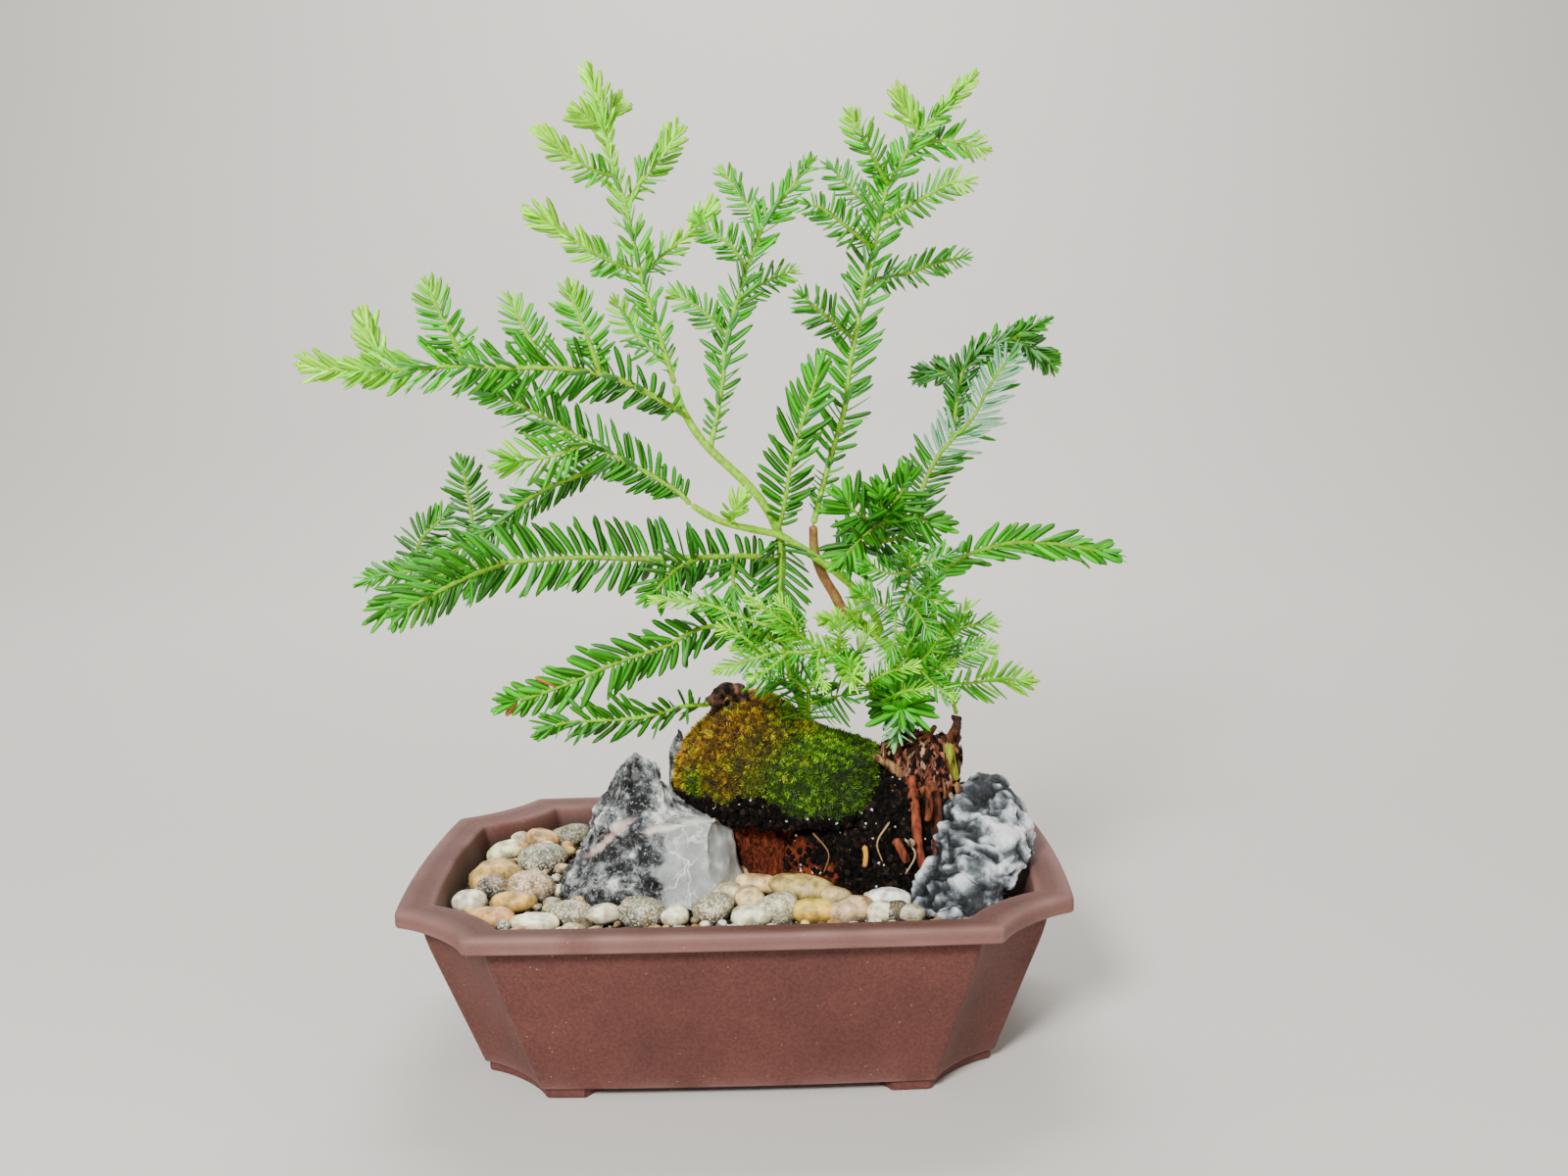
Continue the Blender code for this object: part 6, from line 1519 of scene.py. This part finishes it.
def lay_out_stems():
    """Every stem's path, {node: [(points, radius), ...]}. A twig starts at the nearest point, as seen from
    EYE, of what it grows from, and its depth runs evenly from there to its end."""
    axes = {name: [(stem_path(name, 12 * MM)[0], 0)] for name in STEMS}
    for name, spray in SPRAYS.items():
        axes[name] = []
        for index, twig in enumerate(own_twigs(name)):
            sheet = np.array(twig.route, float)
            first = slide(sheet[:1], [0.0])[0]
            sight = unit(first - EYE)
            options = []
            for axis, _ in axes[spray.grows_from] if index == 0 else axes[name]:
                fine = resample(axis, 1 * MM)
                away = fine - EYE
                miss = np.linalg.norm(across(away, sight), axis=1)
                best = int(miss.argmin())
                options.append((miss[best], *fine[best]))
            start = np.array(min(options)[1:])
            depths = np.linspace(start[1], twig.depth * MM, len(sheet) + 1)[1:]
            route = np.concatenate([[start], slide(sheet[1:], depths[1:])])
            points = resample(curve_through(route, 8), 0.2 * MM)
            if len(sheet) > 3 and spray.habit != "bare":
                points = points[:len(points) - round(END_NEEDLES / (0.2 * MM))]
            axes[name].append((points, spray.radius * MM * (1 if index == 0 else 0.8)))
    return axes


def needle_shape():
    """One needle in its own measures: half width w(t), a ridge above, a flatter underside, and the columns
    (across, along, above, bend) with bend = t^2. Its rings have four points and are capped at both ends."""
    t = np.array([0, 0.06, 0.17, 0.42, 0.76, 0.92, 1.0])[:, None]
    wide = np.array([0.3, 0.32, 0.86, 1.0, 0.95, 0.68, 0.12])[:, None]
    thick = np.array([0.6, 0.8, 1.0, 1.0, 0.8, 0.5, 0.15])[:, None]
    across_blade = wide * np.array([-0.5, 0, 0.5, 0])
    above = thick * np.array([0, 0.6, 0, -0.4])
    shape = np.stack([across_blade, t + 0 * above, above, t ** 2 + 0 * above], -1).reshape(-1, 4)
    upper = np.tile([0.0, 1.0, 0.0, -1.0], len(t))
    faces = quads(len(t), 4).tolist() + [[3, 2, 1, 0], [24, 25, 26, 27]]
    return shape, np.array(faces), upper


def twig_needles(name, index, twig, points, look, draw):
    """The needles of one twig: roots, directions, upper faces, lengths, widths, youth and the twig's way.

    Stems carry them left and right in turn, some of them turned to the front, and rosettes on a spiral of
    137.5 degrees. A needle leans out by an angle that closes towards the tip, where a bud of short needles ends
    the twig. They are half as long at the foot, of full length further on and shorter again at the tip."""
    spray = SPRAYS[name]
    leaf = LEAVES.get(name, LEAVES[spray.slot])
    leaf = LEAVES.get(name + "+", leaf) if index else leaf
    run = run_of(points)
    along, facing, sideways = frames(points)
    star = spray.habit == "star"
    step = leaf.gap * MM * look.spacing * (0.22 if star else 0.5)
    places = np.arange(0 if star else min(4 * MM, 0.15 * run[-1]), run[-1], step)
    places = places + draw.uniform(-0.3, 0.3, len(places)) * step
    places = np.concatenate([places, np.full(BUD, run[-1])])
    share = np.clip(places / run[-1], 0, 1)
    order = np.arange(len(places))
    bud = order >= len(places) - BUD
    front = (draw.random(len(places)) < leaf.front) & ~bud
    towards = np.where(order % 2, -1, 1) * draw.uniform(0.5, 1.3, len(places))
    turn = np.pi * (order % 2) + draw.normal(0, 0.22, len(places)) + np.where(front, towards, 0)
    turn = np.where(bud | star, order * SPIRAL, turn) + math.radians(twig.roll)
    spread = np.radians(leaf.foot + (leaf.tip - leaf.foot) * share ** 1.5 + draw.normal(0, 6, len(places)))
    spread = np.where(bud, np.radians(draw.uniform(6, 0.8 * leaf.tip + 6, len(places))), spread)
    length = (0.5 + 0.5 * np.clip(share / leaf.late, 0, 1) ** 2) * (1 - 0.35 * np.clip(4 * share - 3, 0, 1))
    length = np.where(bud, draw.uniform(0.5, 0.75, len(places)), 1.0 if star else length)
    reach = spray.needle * MM * leaf.long * length * draw.uniform(0.8, 1.08, len(places))
    at = [np.stack([np.interp(places, run, axis[:, i]) for i in range(3)], 1)
          for axis in (points, along, facing, sideways)]
    root, along, facing, sideways = at
    roll = math.radians(twig.roll)
    out = np.cos(turn)[:, None] * sideways + np.sin(turn)[:, None] * facing
    heading = unit(np.cos(spread)[:, None] * along + np.sin(spread)[:, None] * out)
    flat_face = math.cos(0.5 * roll) * facing - math.sin(0.5 * roll) * sideways
    face = flat_face + 0.2 * np.array([0, 0, 1]) + draw.normal(0, 0.26, flat_face.shape)
    face = np.where((front | bud)[:, None], along + 0.5 * flat_face, face)
    face = unit(across(along if star else face, heading))
    over = (draw.random(len(places)) < leaf.silver) & (share > 0.36)
    face = face * np.where(over, -1, 1)[:, None]
    width = leaf.wide * MM * look.width * draw.uniform(0.8, 1.1, len(places))
    width = width * np.clip(reach / (9 * MM), 0.6, 1)
    youth = leaf.old + (leaf.young - leaf.old) * share ** 2.2 + draw.normal(0, 0.05, len(places))
    return root, heading, face, reach, width, youth, along


def build_leafy_stem(name, spray, twigs, look, leaves, bark):
    """One leafy stem: its green stems as knotty tubes, and all its needles as copies of one bent blade."""
    draw = np.random.default_rng([ord(letter) for letter in name])
    parts = [twig_needles(name, index, twig, points, look, draw)
             for index, (twig, (points, _)) in enumerate(zip(own_twigs(name), twigs))]
    root, heading, face, reach, width, youth, along = (np.concatenate(column) for column in zip(*parts))
    low, high = (np.array(corner) for corner in CAD_BOX)
    room = np.where(heading > 0, high - root, root - low) / np.maximum(np.abs(heading), 1e-6)
    reach = np.minimum(reach, 0.97 * room.min(1))
    shape, faces, upper = needle_shape()
    bend = draw.normal(0.1, 0.06, (len(root), 1)) * along - draw.normal(0.05, 0.06, (len(root), 1)) * face
    bend = (bend + draw.normal(0, 0.03, along.shape)) * reach[:, None]
    bases = np.stack([np.cross(heading, face) * width[:, None], heading * reach[:, None],
                      face * look.thickness, bend], 1)
    points, faces = repeated(shape, faces, root, bases)
    count = len(shape)
    dry = np.zeros(len(root))
    for x, z in DRY_NEEDLES:
        miss = np.hypot(root[:, 0] - x * MM, root[:, 2] - z * MM)
        dry[miss.argmin()] = float(miss.min() < 6 * MM)
    values = {"tone": draw.uniform(0.1, 0.9, len(root)), "youth": np.clip(youth, 0, 1), "dry": dry}
    values = {label: np.repeat(value, count) for label, value in values.items()}
    values["upper"] = np.tile(upper, len(root))
    stems, total = [], len(points)
    all_faces, indices = faces.tolist(), [0] * len(faces)
    for axis, radius in twigs:
        path = resample(axis, 1 * MM)
        knots = 1 + 0.22 * noise(path, 1.7 * MM, 5)
        ring = tube(path, np.linspace(0.88 * radius, 0.55 * radius, len(path)) * knots, 8)
        own = capped(*ring.shape[:2])
        all_faces += [[i + total for i in one] for one in own]
        indices += [1] * len(own)
        stems.append(ring.reshape(-1, 3))
        total += len(stems[-1])
    stems = np.concatenate(stems)
    values = {label: np.concatenate([value, np.zeros(len(stems))]) for label, value in values.items()}
    woody = np.clip(0.05 + 0.25 * fractal(stems, 6 * MM, 3), 0, 1)[:, None]
    tint = np.array(look.stem) * STEM_TONE[spray.slot] * (1 - woody) + np.array(look.bark) * woody
    values["tint"] = np.concatenate([np.zeros((len(points), 3)), tint])
    piece(name + "_needles", np.concatenate([points, stems]), all_faces, [leaves[spray.slot], bark], name,
          values, indices)


def own_twigs(name):
    """A node's twigs, and the small side shoots that only the fine model has."""
    return SPRAYS[name].twigs + [Twig(*twig) for twig in SIDE_SHOOTS.get(name, ())]


def build_foliage(look):
    """Every leafy stem, with a material for each kind of needle and one for the green stems."""
    leaves = {
        "needle_dark": needle_leaf("old_needles", look, look.under),
        "needle_mid": needle_leaf("green_needles", look, look.under),
        "needle_new": needle_leaf("new_needles", look, look.new),
        "needle_silver": needle_leaf("silver_backed_needles", look, look.silver),
    }
    bark = young_bark()
    bark.name = "green_stem"
    axes = lay_out_stems()
    for name, spray in SPRAYS.items():
        if spray.habit != "bare":
            build_leafy_stem(name, spray, axes[name], look, leaves, bark)


def build_hidden():
    """The drain screens, moulded in black plastic, and the damp soil keep the frame's own shapes."""
    plastic, tree, place = new_material("moulded_screen_plastic", 0.5, 0.5)
    moulded = add(tree, "ShaderNodeTexNoise", {"Vector": place, "Scale": 1 / (0.6 * MM)})
    colour = add(tree, "ShaderNodeValToRGB", {"Fac": moulded}, stops=((0.3, shade("161616")),
                                                                       (0.7, shade("262626"))))
    finish_material(tree, colour, moulded, 0.05 * MM)
    soil = dark_grit()
    soil.name = "damp_soil"
    for name, made in (("drain_screen_left", plastic), ("drain_screen_right", plastic), ("soil", soil)):
        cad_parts[name].data.materials.clear()
        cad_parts[name].data.materials.append(made)


def aim(place, target):
    """A matrix at a place whose -Z looks at the target."""
    sight = Vector(target) - Vector(place)
    return Matrix.Translation(place) @ sight.to_track_quat("-Z", "Y").to_matrix().to_4x4()


def build_studio(look):
    """A pale floor that sweeps up far behind, four large soft lights, an even sky, and the camera at the
    photograph's place."""
    floor_paint, tree, place = new_material("matt_painted_floor", 0.9, 0.1)
    cloud = add(tree, "ShaderNodeTexNoise", {"Vector": place, "Scale": 1 / 0.4})
    colour = add(tree, "ShaderNodeMix", {"Factor": cloud, 6: look.floor, 7: np.array(look.floor) * 0.97}, 2,
                 data_type="RGBA")
    finish_material(tree, colour)
    sweep = np.radians(np.linspace(0, 90, 25))
    bend = [(1.4 + 1.6 * math.sin(a), 1.6 - 1.6 * math.cos(a)) for a in sweep]
    profile = [(-6.0, 0.0)] + bend + [(3.0, 3.2)]
    points = [(x, y, z) for y, z in profile for x in (6.0, -6.0)]
    mesh = bpy.data.meshes.new("floor")
    mesh.from_pydata(points, [], quads(len(profile), 2, closed=False)[:, ::-1].tolist())
    mesh.polygons.foreach_set("use_smooth", np.ones(len(mesh.polygons), bool))
    mesh.materials.append(floor_paint)
    floor = bpy.data.objects.new("floor", mesh)
    bpy.context.scene.collection.objects.link(floor)
    world = bpy.data.worlds.new("even_sky")
    world.use_nodes = True
    sky = world.node_tree.nodes["Background"]
    sky.inputs["Color"].default_value = (*shade("E9E8E4"), 1)
    sky.inputs["Strength"].default_value = look.sky
    bpy.context.scene.world = world
    middle = (0, 0, 0.17)
    for name, place, target, size, power in (
            ("key_light", (-0.45, -1.3, 0.95), middle, 0.36, look.key),
            ("fill_light", (1.5, -0.8, 0.7), middle, 1.2, look.fill),
            ("back_light", (-0.2, 1.5, 1.2), middle, 1.0, look.rim),
            ("sweep_light", (0, 1.2, 2.6), (0, 3.0, 0.6), 1.6, look.sweep)):
        light = bpy.data.lights.new(name, "AREA")
        light.shape, light.size, light.energy = "DISK", size, power
        lamp = bpy.data.objects.new(name, light)
        lamp.matrix_world = aim(place, target)
        bpy.context.scene.collection.objects.link(lamp)
    lens = bpy.data.cameras.new("photograph_camera")
    lens.lens, lens.sensor_width, lens.clip_start = 36, 36, 0.01
    camera = bpy.data.objects.new("photograph_camera", lens)
    azimuth, height, roll = np.radians((-0.4, 7.7, -1.2))
    back = np.array([np.sin(azimuth) * np.cos(height), -np.cos(azimuth) * np.cos(height), np.sin(height)])
    right = np.array([np.cos(azimuth), np.sin(azimuth), 0])
    up = np.cross(back, right)
    right, up = np.cos(roll) * right + np.sin(roll) * up, np.cos(roll) * up - np.sin(roll) * right
    camera.matrix_world = Matrix([(*row, at) for row, at in zip(np.column_stack([right, up, back]), EYE)]
                                 + [(0, 0, 0, 1)])
    bpy.context.scene.collection.objects.link(camera)
    bpy.context.scene.camera = camera


class BONSAI_OT_pot(bpy.types.Operator):
    """Build the stoneware pot with its feet"""
    bl_idname = "bonsai.pot"
    bl_label = "Pot"

    def execute(self, context):
        build_pot(context.scene.bonsai_pot)
        return {"FINISHED"}


class BONSAI_OT_hidden(bpy.types.Operator):
    """Finish the soil and the drain screens, which the gravel covers"""
    bl_idname = "bonsai.hidden"
    bl_label = "Soil and screens"

    def execute(self, context):
        build_hidden()
        return {"FINISHED"}


class BONSAI_OT_gravel(bpy.types.Operator):
    """Build the bed of grit and river pebbles"""
    bl_idname = "bonsai.gravel"
    bl_label = "Gravel"

    def execute(self, context):
        build_gravel(context.scene.bonsai_stone)
        return {"FINISHED"}


class BONSAI_OT_rocks(bpy.types.Operator):
    """Build the veined rock, its sliver and the slate"""
    bl_idname = "bonsai.rocks"
    bl_label = "Rocks"

    def execute(self, context):
        build_left_rock(context.scene.bonsai_stone)
        build_right_rock(context.scene.bonsai_stone)
        return {"FINISHED"}


class BONSAI_OT_earth(bpy.types.Operator):
    """Build the burl and the root ball"""
    bl_idname = "bonsai.earth"
    bl_label = "Burl and root ball"

    def execute(self, context):
        build_burl(context.scene.bonsai_earth)
        build_root_ball(context.scene.bonsai_earth)
        return {"FINISHED"}


class BONSAI_OT_moss(bpy.types.Operator):
    """Build the moss cushion and its tufts"""
    bl_idname = "bonsai.moss"
    bl_label = "Moss"

    def execute(self, context):
        build_moss(context.scene.bonsai_earth)
        return {"FINISHED"}


class BONSAI_OT_stump(bpy.types.Operator):
    """Build the old stump with its bark strips and roots"""
    bl_idname = "bonsai.stump"
    bl_label = "Stump"

    def execute(self, context):
        build_stump(context.scene.bonsai_earth)
        return {"FINISHED"}


class BONSAI_OT_stems(bpy.types.Operator):
    """Build the two living stems and the two dead stubs"""
    bl_idname = "bonsai.stems"
    bl_label = "Woody stems"

    def execute(self, context):
        build_stems(context.scene.bonsai_foliage)
        return {"FINISHED"}


class BONSAI_OT_foliage(bpy.types.Operator):
    """Build every leafy stem with its needles"""
    bl_idname = "bonsai.foliage"
    bl_label = "Leafy stems"

    def execute(self, context):
        build_foliage(context.scene.bonsai_foliage)
        return {"FINISHED"}


class BONSAI_OT_studio(bpy.types.Operator):
    """Set up the floor, the lights, the sky and the camera"""
    bl_idname = "bonsai.studio"
    bl_label = "Studio"

    def execute(self, context):
        build_studio(context.scene.bonsai_studio)
        return {"FINISHED"}


OPERATORS = (BONSAI_OT_pot, BONSAI_OT_hidden, BONSAI_OT_gravel, BONSAI_OT_rocks, BONSAI_OT_earth,
             BONSAI_OT_moss, BONSAI_OT_stump, BONSAI_OT_stems, BONSAI_OT_foliage, BONSAI_OT_studio)
SETTINGS = {"bonsai_pot": PotSettings, "bonsai_stone": StoneSettings, "bonsai_earth": EarthSettings,
            "bonsai_foliage": FoliageSettings, "bonsai_studio": StudioSettings}


class BONSAI_PT_panel(bpy.types.Panel):
    """Lists the bonsai's pieces and their sizes and colours"""
    bl_idname = "BONSAI_PT_panel"
    bl_label = "Redwood bonsai"
    bl_space_type = "VIEW_3D"
    bl_region_type = "UI"
    bl_category = "Bonsai"

    def draw(self, context):
        for operator in OPERATORS:
            self.layout.operator(operator.bl_idname)
        for label, group in SETTINGS.items():
            box = self.layout.box()
            for value in group.__annotations__:
                box.prop(getattr(context.scene, label), value)


def register():
    for made in (*SETTINGS.values(), *OPERATORS, BONSAI_PT_panel):
        bpy.utils.register_class(made)
    for label, group in SETTINGS.items():
        setattr(bpy.types.Scene, label, PointerProperty(type=group))


def unregister():
    for label in SETTINGS:
        delattr(bpy.types.Scene, label)
    for made in reversed((*SETTINGS.values(), *OPERATORS, BONSAI_PT_panel)):
        bpy.utils.unregister_class(made)


def main():
    register()
    bpy.ops.bonsai.pot()
    bpy.ops.bonsai.hidden()
    bpy.ops.bonsai.gravel()
    bpy.ops.bonsai.rocks()
    bpy.ops.bonsai.earth()
    bpy.ops.bonsai.moss()
    bpy.ops.bonsai.stump()
    bpy.ops.bonsai.stems()
    bpy.ops.bonsai.foliage()
    bpy.ops.bonsai.studio()


if __name__ == "__main__":
    main()
